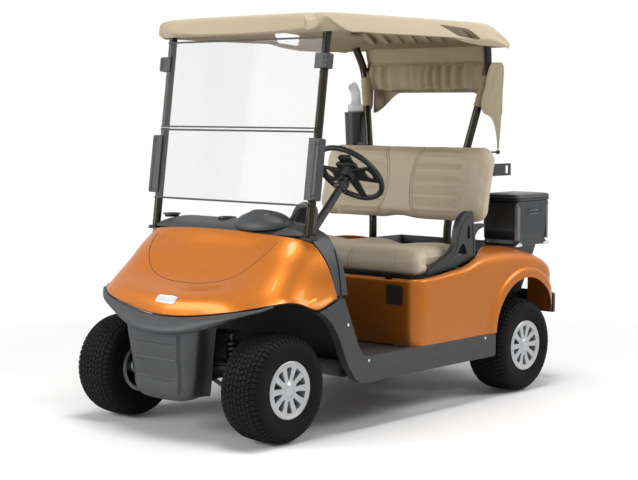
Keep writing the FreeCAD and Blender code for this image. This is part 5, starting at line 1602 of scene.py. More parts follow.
class CART_OT_steering(bpy.types.Operator):
    """Make the steering wheel with its grips, spokes, hub and card clip, and the column"""
    bl_idname = "cart.steering"
    bl_label = "Steering"

    def execute(self, context):
        grip = materials["wheel_grip"]
        a = np.arange(240) * 2 * np.pi / 240
        b = np.arange(28) * 2 * np.pi / 28
        b, a = np.meshgrid(b, a, indexing="ij")
        under = 0.5 - 0.5 * np.cos(b - np.pi * 0.75)
        fingers = 1.6 * (0.5 + 0.5 * np.cos(a * 60)) * under * (np.abs(np.sin(a * 2)) < 0.93)
        size = 13.0 - fingers
        ring = 164 + size * np.cos(b)
        points = np.stack([ring * np.cos(a), ring * np.sin(a), size * np.sin(b)], axis=-1)
        rim = grid_object("rim", points, grip, wrap_rows=True, wrap_columns=True)
        spokes = []
        for side in (-1, 1):
            outline = np.array([(-40, 22), (26, 22), (34, 60), (42, 110), (52, 156), (-56, 156),
                                (-50, 110), (-44, 60)], float)
            outline[:, 1] *= side
            oval = circle(18, 40) * (1.55, 1.0) + (-2, 116 * side)
            plate = extruded("spoke", rounded_corners(outline, 12), 2, -8, 3, grip, holes=[oval])
            spokes.append(bevelled(plate, 3, 3, 40))
        hub = turned("hub", [(-30, 0), (-30, 30), (-24, 34), (-4, 36), (6, 44), (14, 46),
                             (20, 42), (22, 30), (22.5, 0)], (0, 0, 0), grip, axis=(0, 0, 1),
                     count=64)
        plates = [bevelled(extruded(name, rounded_corners(outline, corner), 2, low, high, grip),
                           *edge, 40)
                  for name, outline, corner, low, high, edge in (
            ("brace", [(-158, -15), (-158, 15), (-20, 30), (-20, -30)], 8, -8, 3, (3, 3)),
            ("pad", [(-44, -52), (-44, 52), (58, 60), (58, -60)], 16, 2, 19, (5, 4)),
            ("clip", [(14, -40), (14, 40), (84, 38), (84, -38)], 10, 19, 26, (2.5, 3)),
            ("clip_bar", [(60, -34), (60, 34), (86, 32), (86, -32)], 8, 26, 35, (3, 3)))]
        whole = joined("steering_wheel_dressed", [rim, *spokes, plates[0], hub, *plates[1:]])
        tilt_mesh(whole)
        place(by_angle(whole, 38), "steering_wheel", "wheel_grip", "steering_wheel")

        steel = materials["column_steel"]
        tube = turned("tube", [(-530, 0), (-530, 19), (-100, 19), (-100, 25), (-96, 28), (-60, 29),
                               (-42, 27), (-37, 22), (-36.5, 9), (-18.5, 9), (-18.5, 0)],
                      (0, 0, 0), steel, axis=(0, 0, 1), count=56)
        rings = [turned("ring", [(-2, 27), (-2, 30), (2, 30), (2, 27)], (0, 0, z), steel,
                        axis=(0, 0, 1), count=48, closed=True) for z in (-90, -66)]
        column = tilt_mesh(joined("column", [tube, *rings]))
        place(by_angle(column, 38), "chassis", "column_steel", "steering_column")
        return {"FINISHED"}


# Seats

def closed_form(loop, core, half_of, ends, across=181, turns=14, caps=6):
    """A closed padded form: a section loop carried across the cart with rounded ends.

    Between the ends the loop is carried at share t of its half width. Over an end of size e the
    loop goes to its core as cos(theta) and out as e sin(theta), and it then closes to a point.
    """
    loop = np.asarray(loop, float)
    core = np.asarray(core, float)
    middle = core.mean(axis=0)
    half = half_of(loop)
    t = np.linspace(-1, 1, across)[:, None]
    body = np.stack([np.broadcast_to(loop[:, 0], (across, len(loop))), t * (half - ends)[None, :],
                     np.broadcast_to(loop[:, 1], (across, len(loop)))], axis=-1)
    theta = np.linspace(0, np.pi / 2, turns)[1:, None]
    flat = core[None] + (loop - core)[None] * np.cos(theta)[..., None]
    out = (half - ends)[None, :] + ends * np.sin(theta)
    end = np.stack([flat[..., 0], out, flat[..., 1]], axis=-1)
    share = np.linspace(0, 1, caps)[1:, None, None]
    closing = core[None] * (1 - share) + middle * share
    width = half[None, :] * (1 - share[..., 0]) + half.mean() * share[..., 0]
    cap = np.stack([closing[..., 0], width, closing[..., 1]], axis=-1)
    right = np.concatenate([end, cap])
    left = right[::-1] * (1, -1, 1)
    return np.concatenate([left, body, right])


CLOTH_FRAMES = 20
PAD_PRESSURE = 4.0
PAD_CAP = 9.0


def swollen(obj, voxel, pressure, cap):
    """Blows a closed form up a little as cloth under pressure and applies the result.

    The form is remeshed evenly, stepped through its frames with no gravity, and no point may move
    further than the cap. One subdivision follows.
    """
    scene = bpy.context.scene
    remesh = obj.modifiers.new("Even", "REMESH")
    remesh.mode = "VOXEL"
    remesh.voxel_size = voxel * MM
    settled(obj)
    start = vertex_rows(obj.data)
    cloth = obj.modifiers.new("Cloth", "CLOTH")
    for key, value in (("quality", 4), ("mass", 0.25), ("tension_stiffness", 12),
                       ("compression_stiffness", 12), ("bending_stiffness", 1.5),
                       ("use_pressure", True), ("uniform_pressure_force", pressure)):
        setattr(cloth.settings, key, value)
    cloth.settings.effector_weights.gravity = 0
    cloth.collision_settings.use_collision = False
    cloth.point_cache.frame_start = 1
    cloth.point_cache.frame_end = CLOTH_FRAMES
    for number in range(1, CLOTH_FRAMES + 1):
        scene.frame_set(number)
    graph = bpy.context.evaluated_depsgraph_get()
    move = vertex_rows(obj.evaluated_get(graph).data) - start
    obj.modifiers.clear()
    scene.frame_set(1)
    length = np.maximum(np.linalg.norm(move, axis=1, keepdims=True), 1e-9)
    set_places(obj.data, start + move * np.minimum(1.0, cap * MM / length))
    finer = obj.modifiers.new("Finer", "SUBSURF")
    finer.levels = finer.render_levels = 1
    return settled(obj)


def pressed(obj, relief, seams):
    """Moves each point along its normal by relief(place, normal) and stores its seams' value,
    painted shade included.
    """
    mesh = obj.data
    at = vertex_rows(mesh).astype(float) / MM
    normal = vertex_rows(mesh, "normal").astype(float)
    moved = at + normal * relief(at, normal)[:, None]
    set_places(mesh, moved * MM)
    paint_value(obj, "seam", seams(at, normal))
    mesh.polygons.foreach_set("use_smooth", np.full(len(mesh.polygons), True))
    mesh.update()
    return obj


def held_in(obj, half_of):
    """Keeps every point's distance from the middle line within a half width worked out from x."""
    at = vertex_rows(obj.data)
    limit = half_of(at[:, 0] / MM) * MM
    at[:, 1] = np.clip(at[:, 1], -limit, limit)
    set_places(obj.data, at)


def near_line(places, x, y, half):
    """1 on a line of straight runs in plan and 0 beyond a half width from it."""
    best = np.full(len(x), 1e9)
    for a, b in zip(np.asarray(places[:-1], float), np.asarray(places[1:], float)):
        run = b - a
        t = np.clip(((x - a[0]) * run[0] + (y - a[1]) * run[1]) / (run @ run), 0, 1)
        best = np.minimum(best, np.hypot(x - a[0] - t * run[0], y - a[1] - t * run[1]))
    return bump_at(0, half, best)


BACK_LOOP = ((262, 841), (276, 856), (279, 885), (268, 940), (255, 1000), (241, 1060),
             (228, 1120), (215, 1168), (203, 1192), (188, 1205), (172, 1208), (160, 1199),
             (158, 1178), (164, 1130), (174, 1062), (185, 990), (195, 925), (202, 870),
             (209, 848), (234, 838))
SEAT_LOOP = ((374, 656), (373, 690), (378, 714), (394, 728), (440, 734), (520, 737), (600, 738),
             (680, 740), (745, 740), (785, 735), (812, 722), (828, 702), (834, 680), (832, 655),
             (822, 641), (790, 637), (640, 636.5), (450, 636.5), (390, 639))
PANEL_LINE = ((95, 150), (60, 146), (6, 128), (-60, 98), (-108, 84), (-140, 92), (-158, 124),
              (-168, 190), (-184, 280), (-212, 380), (-236, 440), (-250, 500))


def seat_relief(at, normal):
    """The seat's rises and hollows: two dished places, a raised middle and the sewn lines."""
    x, y = at[:, 0], np.abs(at[:, 1])
    up = np.clip(normal[:, 2], 0, 1)
    ahead_of = normal[:, 0]
    rear = soft_step(-80, -330, x)
    rise = 12 * bump_at(0, 150, y) + 8 * bump_at(370, 150, y) - 9 * bump_at(165, 90, y)
    rise = rise * up * rear
    dish = -5 * up * bump_at(300, 210, y) * bump_at(-150, 190, x)
    front = soft_step(0.5, 0.9, ahead_of)
    seams = front * (2.6 * bump_at(140, 5, y) + 2.6 * bump_at(163, 5, y) + 1.2 * bump_at(422, 7, y))
    line = near_line(PANEL_LINE, x, y, 7) * soft_step(0.3, 0.6, normal[:, 2])
    piping = near_line(PANEL_LINE, x + 5, y, 6) * soft_step(0.3, 0.6, normal[:, 2])
    puff = front * 4 * bump_at(300, 120, y) - front * 3.0 * bump_at(151, 26, y)
    fold = hash_wave(at[:, 1], at[:, 2] * 2 + x, 46, 2.0) * 0.7
    return rise + dish - seams - 3.2 * line + piping + puff + fold


def seat_seams_and_underside_shade(at, normal):
    """Where thread and piping darken the seat, and painted shade darkens its underside."""
    y = np.abs(at[:, 1])
    front = soft_step(0.5, 0.9, normal[:, 0])
    lines = front * (bump_at(140, 4, y) + bump_at(163, 4, y) + 0.5 * bump_at(422, 5, y))
    line = near_line(PANEL_LINE, at[:, 0], y, 5) * soft_step(0.3, 0.6, normal[:, 2])
    # Painted shade: the cushion's underside below 650 mm is darkened.
    base = soft_step(650, 640, at[:, 2]) * 0.5
    return np.clip(lines + line * 0.8 + base, 0, 1)


BACK_RIB_PITCH = 63


def back_seam(z):
    """The middle panel's edge on the backrest, at a height: 70 + 42 ((z - 1030) / 172)^2."""
    return 70 + 42 * ((z - 1030) / 172) ** 2


def back_panel(y, z):
    """The ribs' wave on the backrest, and 1 where the ribbed panel lies across it."""
    wave = np.cos((z - 1024) * 2 * np.pi / BACK_RIB_PITCH)
    return wave, soft_step(8, 34, y - back_seam(z)) * soft_step(386, 356, y)


def back_relief(at, normal):
    """The backrest's ribs, the rounded ends' channels, the double seam and the middle notch."""
    y, z = np.abs(at[:, 1]), at[:, 2]
    front = soft_step(0.35, 0.75, normal[:, 0])
    edge = back_seam(z)
    rib, panel = back_panel(y, z)
    within = soft_step(868, 892, z) * soft_step(1172, 1150, z)
    ribs = front * panel * within * (4.6 * rib - 1.4)
    seams = front * (3.4 * bump_at(0, 5.5, y - edge) + 3.0 * bump_at(14, 5.5, y - edge))
    channel = front * 5.0 * bump_at(396, 26, y)
    swell = front * (6.0 * bump_at(458, 72, y) + 2.5 * bump_at(0, 80, y))
    lower = soft_step(-0.2, -0.7, normal[:, 2])
    notch = -12 * bump_at(0, 130, y) * lower + 2 * lower
    top = soft_step(0.3, 0.8, normal[:, 2]) * (-3.0 * bump_at(0, 12, y - edge))
    fold = hash_wave(at[:, 1], z, 52, 5.0) * 0.6
    piping = 1.6 * bump_at(0, 5, normal[:, 0] * 40 + 12) * soft_step(120, 200, y)
    return ribs - seams - channel + swell + notch + top + fold + piping


def back_seams_and_valley_shade(at, normal):
    """Where thread darkens the backrest, and painted shade darkens the valleys between its ribs."""
    y, z = np.abs(at[:, 1]), at[:, 2]
    front = soft_step(0.2, 0.6, normal[:, 0] + np.clip(normal[:, 2], 0, 1))
    edge = back_seam(z)
    thread = front * (bump_at(0, 4.5, y - edge) + bump_at(14, 4.5, y - edge))
    rib, panel = back_panel(y, z)
    # Painted shade: the valleys between the ribs are darkened.
    painted_rib_valley_shade = front * panel * soft_step(-0.5, -1.0, rib) * 0.35
    return np.clip(thread + painted_rib_valley_shade, 0, 1)


class CART_OT_seats(bpy.types.Operator):
    """Make the seat and the backrest as padded cushions, and the board behind the backrest"""
    bl_idname = "cart.seats"
    bl_label = "Seats"

    def execute(self, context):
        vinyl = materials["tan_vinyl"]
        loop = closed_spline(from_rear(BACK_LOOP), 150)
        middle = loop.mean(axis=0)
        lean = (loop[:, 1] - middle[1]) * -0.19
        core = np.stack([middle[0] + lean + (loop[:, 0] - middle[0] - lean) * 0.35,
                         middle[1] + (loop[:, 1] - middle[1]) * 0.60], axis=1)
        back = grid_object("backrest_pad", closed_form(
            loop, core, lambda rows: np.full(len(rows), 528.0), 78.0), vinyl,
            wrap_columns=True, merge=0.02)
        self.finish(back, "chassis", back_relief, back_seams_and_valley_shade, "backrest_cushion")

        loop = closed_spline(from_rear(SEAT_LOOP), 150)
        middle = np.array((loop[:, 0].mean(), 688.0))
        core = np.stack([middle[0] + (loop[:, 0] - middle[0]) * 0.88,
                         middle[1] + (loop[:, 1] - middle[1]) * 0.35], axis=1)
        seat = grid_object("seat_pad", closed_form(
            loop, core, lambda rows: 484 + 72 * soft_step(-42, 0, rows[:, 0]), 40.0),
            vinyl, wrap_columns=True, merge=0.02)
        self.finish(seat, "seat", seat_relief, seat_seams_and_underside_shade, "seat_cushion")
        self.shell()
        return {"FINISHED"}

    def shell(self):
        """The moulded board behind the backrest, a rounded box that leans with it, and its knob."""
        black = materials["black_plastic"]
        board = extruded("board", rounded_box_section(950, 330, 40) + (0, 1022), 0, 0.3, 8.3,
                         black)
        at = vertex_rows(bevelled(board, 2.5, 3, 50).data) / MM
        at[:, 0] = astern(206 - (at[:, 2] - 846) * 56 / 354) - at[:, 0]
        set_places(board.data, at * MM)
        board.data.flip_normals()
        path = from_rear([(148, 424, 1176), (12, 424, 1176)])
        stem = swept("stem", polyline(path, 12), circle(4.6, 16), black)
        ball = turned("ball", [(-11, 0), (-10.4, 4), (-8, 7.6), (-4, 10.2), (0, 11), (4, 10.2),
                               (8, 7.6), (10.4, 4), (11, 0)], (astern(12), 424, 1176), black,
                      count=32)
        whole = joined("backrest_board", [board, stem, ball])
        place(by_angle(whole, 36), "chassis", "black_plastic", "backrest_shell")

    def finish(self, obj, body, relief, seams, node):
        swollen(obj, bpy.context.scene.cart_view.voxel, PAD_PRESSURE, PAD_CAP)
        pressed(obj, relief, seams)
        if body == "seat":
            held_in(obj, lambda x: 481 + 75 * soft_step(-32, 10, x))
        place(obj, body, "tan_vinyl", node)


# Bag cover and sand bottle

class CART_OT_cover(bpy.types.Operator):
    """Make the bag cover: gathered front, back, side flaps, strap and sleeves"""
    bl_idname = "cart.cover"
    bl_label = "Bag cover"

    def execute(self, context):
        cloth = materials["tan_fabric"]
        front = self.front(cloth)
        back = self.back(cloth)
        flap = self.flap(cloth)
        other = self.other_flap(cloth)
        sleeves = self.sleeves(cloth)
        place(front, "chassis", "tan_fabric", "bag_cover")
        for piece in (back, flap, other, sleeves):
            place(piece, "chassis", "tan_fabric")
        return {"FINISHED"}

    def sheet(self, name, points, cloth, seam):
        """A cloth sheet 2 mm thick, its seam attribute, with any painted fold shade, kept."""
        return thick(paint_value(grid_object(name, points, cloth), "seam", seam), 2.0, 0.0)

    def front(self, cloth):
        """The gathered sheet: smooth above, folded below by sines whose size grows downwards.

        x = base + size(v) (sin 26 u + 0.5 sin(41 u + 1.3)), and the hem is rolled and wavy.
        """
        u = np.linspace(-1, 1, 420)[None, :]
        v = np.linspace(0, 1, 84)[:, None]
        wave = np.sin(26 * np.pi * u / 2 + 2.2 * np.sin(5 * u)) + 0.5 * np.sin(41 * u + 1.3)
        gather = soft_step(0.34, 0.46, v) * (1 - 0.2 * soft_step(0.88, 1, v))
        side = 1 - 0.75 * soft_step(0.93, 1.0, np.abs(u))
        size = 10.5 * gather * side
        x = astern(50) - 16 * soft_step(0.0, 0.4, v) + size * wave * 0.66
        x = x + 14 * np.sin(np.pi * np.clip((v - 0.37) / 0.63, 0, 1)) * side
        z = 1696 - 212 * v + 3.0 * gather * np.sin(13 * u + 0.6) * soft_step(0.7, 1, v)
        z = z + 2.6 * wave * soft_step(0.85, 1, v)
        y = u * (394 - 4 * soft_step(0.4, 1, v)) + 2.4 * gather * np.cos(26 * np.pi * u / 2)
        roll = soft_step(0.94, 1.0, v)
        x = x - 9 * roll
        points = np.stack(np.broadcast_arrays(x, y, z), axis=-1)
        seam = 0.65 * bump_at(0.345, 0.018, v) + 0.5 * soft_step(0.97, 1.0, v)
        # Painted shade: the valleys of the gathered folds are darkened through the seam value.
        seam = seam + 0.55 * gather * np.clip(-wave, 0, 1)
        return self.sheet("cover_front", points, cloth, np.broadcast_to(seam, x.shape))

    def back(self, cloth):
        """The back sheet over the bow and down: its lower edge falls away to the sides."""
        u = np.linspace(-1, 1, 181)[None, :]
        y = np.where(u < 0, u * 398, u * 424)
        low = 1470 - 104 * soft_step(0.56, 1.0, np.abs(u)) ** 0.9
        over = np.array([(46, 1611), (20, 1614.5), (-4, 1615), (-18, 1612), (-26, 1602),
                         (-29, 1580)], float)
        top = spline(over, 28)
        share = np.linspace(0, 1, 45)[1:, None]
        x_top = np.broadcast_to(astern(top[:, :1]), (28, 181))
        z_top = np.broadcast_to(top[:, 1:], (28, 181))
        z_low = 1580 + (low - 1580) * share
        sag = 5 * np.sin(np.pi * share) * np.cos(u * 7) * 0.5
        x_low = astern(-29) + sag + 8 * share * soft_step(0.7, 1, np.abs(u))
        x = np.concatenate([x_top, np.broadcast_to(x_low, (44, 181))])
        z = np.concatenate([z_top, np.broadcast_to(z_low, (44, 181))])
        points = np.stack(np.broadcast_arrays(x, y, z), axis=-1)
        v = np.linspace(0, 1, 72)[:, None]
        seam = 0.5 * bump_at(0.965, 0.02, v) * np.ones_like(u)
        return self.sheet("cover_back", points, cloth, seam)

    def between(self, name, fore, aft, y, cloth, billow):
        """A flap between two edges given by height, with a small billow and a turned hem."""
        rows = 90
        fore = spline(from_rear(fore), rows)
        aft = spline(from_rear(aft), rows)
        t = np.linspace(0, 1, 40)[None, :, None]
        flat = fore[:, None] * (1 - t) + aft[:, None] * t
        v = np.linspace(0, 1, rows)[:, None]
        t = t[..., 0]
        bulge = billow * np.sin(np.pi * t) * np.sin(np.pi * np.clip(v * 1.4, 0, 1))
        bulge = bulge + 1.6 * np.sin(9 * t + 14 * v) * np.sin(np.pi * t)
        side = y + np.sign(y) * bulge
        points = np.stack([flat[..., 0], side, flat[..., 1]], axis=-1)
        edge = np.minimum(t, 1 - t)
        seam = 0.6 * bump_at(0.09, 0.035, edge) * soft_step(0.75, 0.6, v) * np.ones_like(v)
        return self.sheet(name, points, cloth, seam)

    def flap(self, cloth):
        fore = [(78, 1612), (92, 1594), (104, 1571), (132, 1490), (158, 1404), (140, 1371),
                (88, 1352), (56, 1326), (34, 1283), (22, 1236), (19, 1190)]
        aft = [(-10, 1614), (-25, 1604), (-30, 1580), (-22, 1480), (-14, 1404), (-14, 1371),
               (-12, 1352), (-9, 1326), (-5, 1283), (2, 1236), (6, 1190)]
        return self.between("cover_flap_left", fore, aft, 425.0, cloth, 5.0)

    def other_flap(self, cloth):
        fore = [(26, 1612), (32, 1594), (34, 1572), (34, 1548), (34, 1530), (32, 1510),
                (30, 1450), (26, 1404), (10, 1384)]
        aft = [(-10, 1614), (-25, 1604), (-30, 1580), (-28, 1550), (-25, 1530), (-23, 1510),
               (-18, 1450), (-14, 1404), (-8, 1384)]
        return self.between("cover_flap_right", fore, aft, -400.0, cloth, -3.0)

    def sleeves(self, cloth):
        """The sleeves round the rear struts, with a slack ripple: radius 23 + 0.7 sin."""
        made = []
        for side in (-1, 1):
            line = polyline(from_rear([(58.5, side * 392.6, 1576), (86.4, side * 354.6, 1400)]), 60)
            ripple = 1.0 + 0.025 * np.sin(np.linspace(0, 34, 60))
            ripple[0] = ripple[-1] = 0.97
            made.append(swept("sleeve", line, circle(22.6, 28), cloth, scale=ripple))
            if side < 0:
                belt = polyline(from_rear([(40, -405, 1395), (36, -408, 1250),
                                           (44, -400, 1215)]), 30)
                made.append(swept("strap", belt, rounded_box_section(9, 2.4, 1, 3), cloth))
        whole = joined("cover_sleeves", made)
        paint_value(whole, "seam", np.zeros(len(whole.data.vertices)))
        return by_angle(whole, 50)


class CART_OT_sand_bottle(bpy.types.Operator):
    """Make the sand bottle with its cap and bent spout, and the ribbed holder"""
    bl_idname = "cart.sand_bottle"
    bl_label = "Sand bottle"

    def execute(self, context):
        milk = materials["bottle_plastic"]
        x, y = astern(80), -435.0
        body = turned("body", [(1136.5, 0), (1136.5, 38), (1141, 42.5), (1290, 43), (1374, 43),
                               (1377, 40.5), (1379, 42.5), (1384, 42.8), (1387, 41), (1390, 42.8),
                               (1402, 42.6), (1408, 40), (1411, 30), (1415, 27), (1430, 26)],
                      (x, y, 0), milk, axis=(0, 0, 1), count=64)
        spout = swept("spout", rounded_path([(x, y, 1424), (x, y, 1462), (x + 17, y, 1496),
                                             (x + 30, y, 1508)], 22, 10), circle(25, 32), milk)
        whole = joined("sand_bottle_body", [body, spout])
        place(by_angle(whole, 40), "chassis", "bottle_plastic", "sand_bottle")
        black = materials["black_plastic"]

        def ribbed(along, radius, angle):
            ribs = 1.5 * (0.5 + 0.5 * np.cos(angle * 16)) * bump_at(1200, 80, along)
            return along, radius + ribs * (radius > 46)
        cup = turned("cup", [(1132, 0), (1132, 46), (1136, 49), (1180, 51), (1250, 54.6),
                             (1350, 59.2), (1362, 60.6), (1368, 60.6), (1370, 59), (1368, 57),
                             (1300, 53.6), (1139, 45.2), (1137, 44), (1137, 0)], (x, y, 0), black,
                     axis=(0, 0, 1), count=96, depth=ribbed)
        clamp = extruded("clamp", rounded_corners([(x - 4, -409), (x + 36, -409), (x + 36, -336),
                                                   (x - 4, -336)], 6), 2, 1188, 1216, black)
        whole = joined("sand_bottle_cup", [cup, bevelled(clamp, 2.5, 2)])
        place(by_angle(whole, 34), "chassis", "black_plastic", "sand_bottle_holder")
        return {"FINISHED"}


# Cooler and rear pieces

COOLER_RING = 160
COOLER_FRONT, COOLER_REAR, COOLER_SIDE = astern(-32), astern(-296), 516


def cooler_ring(z, inset):
    """The cooler's outline in plan at a height, drawn in by an inset, with rounded corners."""
    flare = (z - 709) / 30
    x0, x1 = COOLER_REAR - flare + inset, COOLER_FRONT + flare - inset
    y0, y1 = 306 - flare / 2 + inset, COOLER_SIDE + flare - inset
    corners = [(x0, y0), (x1, y0), (x1, y1), (x0, y1)]
    ring = rounded_corners(corners, 24, 9)
    return polyline(np.concatenate([ring, ring[:1]]), COOLER_RING + 1)[:-1]


def cooler_shell(name, levels, material):
    """Rings of the cooler's outline at (height, inset) pairs, closed at both ends."""
    rings = [np.column_stack([cooler_ring(z, inset), np.full(COOLER_RING, z)])
             for z, inset in levels]
    first = rings[0].mean(axis=0)
    last = rings[-1].mean(axis=0)
    low = [first + (rings[0] - first) * s for s in (0.0, 0.5)]
    high = [last + (rings[-1] - last) * s for s in (0.5, 0.0)]
    obj = grid_object(name, np.stack([*low, *rings, *high]), material, wrap_columns=True)
    return put_right(obj, 0.02)


class CART_OT_cooler(bpy.types.Operator):
    """Make the cooler with its lid, hinges, latch, handle, corner guards and feet"""
    bl_idname = "cart.cooler"
    bl_label = "Cooler"

    def execute(self, context):
        dark, grey = materials["cooler_plastic"], materials["cooler_grey"]
        body = cooler_shell("cooler_body", [(709, 8), (710, 3), (713, 0.6), (720, 0), (730, 0),
                                            (733, 2.4), (742, 2.4), (745, 0), (790, 0), (850, 0),
                                            (905, 0), (910, -1.5), (926, -1.5), (930, 0),
                                            (931.5, 2), (931.6, 12), (925, 14), (800, 14),
                                            (728, 14)], dark)
        place(by_angle(body, 40), "chassis", "cooler_plastic", "cooler")
        lid = cooler_shell("cooler_lid_top", [(932.4, 14), (932.4, 0), (933.4, -3.2), (936, -4),
                                              (944, -4), (945, -2.4), (947, -2.4), (948, -3.8),
                                              (956, -3.4), (962, -1), (965.5, 5), (967, 14),
                                              (965.6, 18), (965.2, 26), (967.5, 30), (968, 60)],
                           dark)
        place(by_angle(lid, 40), "cooler_lid", "cooler_plastic", "cooler_lid")
        path = np.column_stack([cooler_ring(952, -4.6), np.full(COOLER_RING, 952.0)])
        line = swept("lid_line", np.concatenate([path, path[:1]]),
                     rounded_box_section(3.4, 2.2, 0.8, 3), grey, ends=False)
        place(by_angle(joined("cooler_lid_line", [line]), 40), "cooler_lid", "cooler_plastic")

        bits = []
        for x, turn in ((COOLER_FRONT + 3, 1), (COOLER_REAR - 3, -1)):
            outline = np.array([(-19, 3.5), (-2, 2.5), (3.5, -3), (3.5, -17), (-0.5, -17),
                                (-3, -3), (-19, -1)]) * (turn, 1) + (x, COOLER_SIDE + 3)
            guard = extruded("guard", rounded_corners(outline, 5, 5), 2, 738, 924, grey)
            bits.append(bevelled(guard, 1.2, 2))
        for z in (868, 886):
            path = rounded_path(from_rear([(-196, 519, z), (-196, 527, z), (-118, 527, z),
                                           (-118, 519, z)]), 6, 7, 14)
            bits.append(swept("handle", path, rounded_box_section(3, 4, 1, 3), grey))
        place(by_angle(joined("cooler_fittings", bits), 36), "chassis", "cooler_plastic")
        hinge = [swept("hinge", np.array([(x - 22, 301.0, 932.2), (x + 22, 301.0, 932.2)]),
                       circle(4.0, 16), grey) for x in (astern(-240), astern(-88))]
        place(by_angle(joined("cooler_hinges", hinge), 40), "chassis", "cooler_plastic")
        outline = rounded_corners(from_rear([(-246, 874), (-222, 874), (-222, 926),
                                             (-246, 926)]), 5)
        latch = extruded("latch", outline, 1, 517, 523, materials["black_plastic"])
        latch = joined("cooler_latch", [bevelled(latch, 2, 2)])
        place(by_angle(latch, 40), "chassis", "cooler_plastic")
        feet = []
        for x in (COOLER_FRONT - 12, COOLER_REAR + 12):
            outline = np.array([(-26, 707), (26, 707), (22, 716), (-4, 727), (-26, 720)])
            foot = extruded("foot", rounded_corners(outline + (x, 0), 4), 1, 512, 520,
                            materials["bright_trim"])
            feet.append(bevelled(foot, 1.5, 2))
        place(by_angle(joined("cooler_feet", feet), 40), "chassis", "wheel_silver")
        return {"FINISHED"}


class CART_OT_rear_pieces(bpy.types.Operator):
    """Make the rear bumper with its two stays"""
    bl_idname = "cart.rear_pieces"
    bl_label = "Rear bumper"

    def execute(self, context):
        grey = materials["grey_plastic"]
        plan = from_rear([(-445, 0), (-445, 200), (-444, 300), (-432, 430), (-412, 480),
                          (-393, 508), (-368, 526), (-346, 532), (-345, 514), (-368, 502),
                          (-388, 484), (-412, 420), (-422, 300), (-422, 0)])
        whole = np.concatenate([plan, plan[-2:0:-1] * (1, -1)])
        bar = bevelled(extruded("bar", rounded_corners(whole, 10), 2, 352, 448, grey), 7, 4, 50)
        stays = []
        for y in (-250, 250):
            outline = from_rear([(-424, y - 19), (-331, y - 19), (-331, y + 19), (-424, y + 19)])
            stays.append(extruded("stay", rounded_corners(outline, 4), 2, 391, 429, grey))
        bumper = joined("rear_bumper_moulding", [bar, *stays])
        place(by_angle(bumper, 36), "chassis", "grey_plastic", "rear_bumper")
        return {"FINISHED"}


# Camera and stage

class CART_OT_stage(bpy.types.Operator):
    """Set up the camera, the pale floor, the world and the soft lamps"""
    bl_idname = "cart.stage"
    bl_label = "Stage"

    def execute(self, context):
        scene = context.scene
        scene.view_settings.view_transform = "Standard"
        settings = scene.cart_view
        camera = bpy.data.objects.new("camera", bpy.data.cameras.new("camera"))
        scene.collection.objects.link(camera)
        yaw, pitch = settings.yaw, settings.pitch
        sight = Vector((math.cos(pitch) * math.cos(yaw), math.cos(pitch) * math.sin(yaw),
                        -math.sin(pitch)))
        turn = sight.to_track_quat("-Z", "Y")
        camera.rotation_mode = "QUATERNION"
        camera.rotation_quaternion = Quaternion(sight, settings.roll) @ turn
        camera.location = settings.place
        camera.data.lens = settings.lens
        camera.data.sensor_width = 36.0
        camera.data.clip_start = 0.05
        camera.data.clip_end = 200.0
        scene.camera = camera
        self.world(scene)
        self.floor()
        self.lamps(scene, settings)
        return {"FINISHED"}

    def world(self, scene):
        """White where it is seen straight, mirrored or through glass; plain light elsewhere."""
        scene.world = bpy.data.worlds.new("studio")
        scene.world.use_nodes = True
        nodes = Nodes(scene.world.node_tree)
        level = nodes.node("ShaderNodeMapRange", {}, {
            "Value": nodes.seen_plainly(), "To Min": scene.cart_view.sky, "To Max": 1.0})
        back = nodes.node("ShaderNodeBackground", {}, {"Color": (1, 1, 1), "Strength": level})
        nodes.node("ShaderNodeOutputWorld", {}, {0: back})

    def floor(self):
        """A wide pale disc that keeps the cart's shadow and turns plain white further out."""
        finish = Finish("floor_pale", Roughness=0.6, Specular_IOR_Level=0.2)
        finish.colour(finish.mixed(finish.noise(0.4, 2.0), (0.91, 0.91, 0.91), (0.93, 0.93, 0.93)))
        seen = finish.seen_plainly()
        x, y = finish.part(0), finish.part(1)
        far = (x * x + y * y).root().within(1.35, 3.3)
        white, glow = (finish.node("ShaderNodeEmission", {},
                                   {"Color": (1, 1, 1), "Strength": power})
                       for power in (1.0, 0.02))
        pale = Value(finish, finish.shader.outputs[0])
        lifted = finish.node("ShaderNodeAddShader", {}, {0: pale, 1: glow})
        near = finish.node("ShaderNodeMixShader", {}, {0: seen, 1: pale, 2: lifted})
        blend = finish.node("ShaderNodeMixShader", {}, {0: far * seen, 1: near, 2: white})
        finish.feed(finish.output.inputs[0], blend)
        radius = np.concatenate([[0.0], np.geomspace(0.5, 60, 40)]) * 1000
        angle = np.arange(96) * 2 * np.pi / 96
        points = np.stack([radius[:, None] * np.cos(angle), radius[:, None] * np.sin(angle),
                           np.zeros((len(radius), len(angle)))], axis=-1)
        floor = grid_object("floor", points, finish.material, wrap_columns=True, merge=0.01,
                            sight=(0, 0, 1))

    def lamps(self, scene, settings):
        """Three large soft boxes: high above, on the driver's side, and in front."""
        for name, place_at, aim, size, power in (
                ("top_box", (0.4, 0.6, 7.0), (0.1, 0, 0.6), (3.0, 2.0), settings.top_power),
                ("side_box", (-3.2, 4.0, 4.2), (-0.4, 0.5, 0.7), (3.0, 2.0), settings.side_power),
                ("front_box", (4.8, -2.2, 2.3), (0.0, 0, 1.0), (2.8, 2.0), settings.front_power)):
            lamp = bpy.data.objects.new(name, bpy.data.lights.new(name, "AREA"))
            scene.collection.objects.link(lamp)
            lamp.data.shape = "RECTANGLE"
            lamp.data.size, lamp.data.size_y = size
            lamp.data.energy = power
            lamp.location = place_at
            lamp.rotation_mode = "QUATERNION"
            lamp.rotation_quaternion = (Vector(aim) - Vector(place_at)).to_track_quat("-Z", "Y")


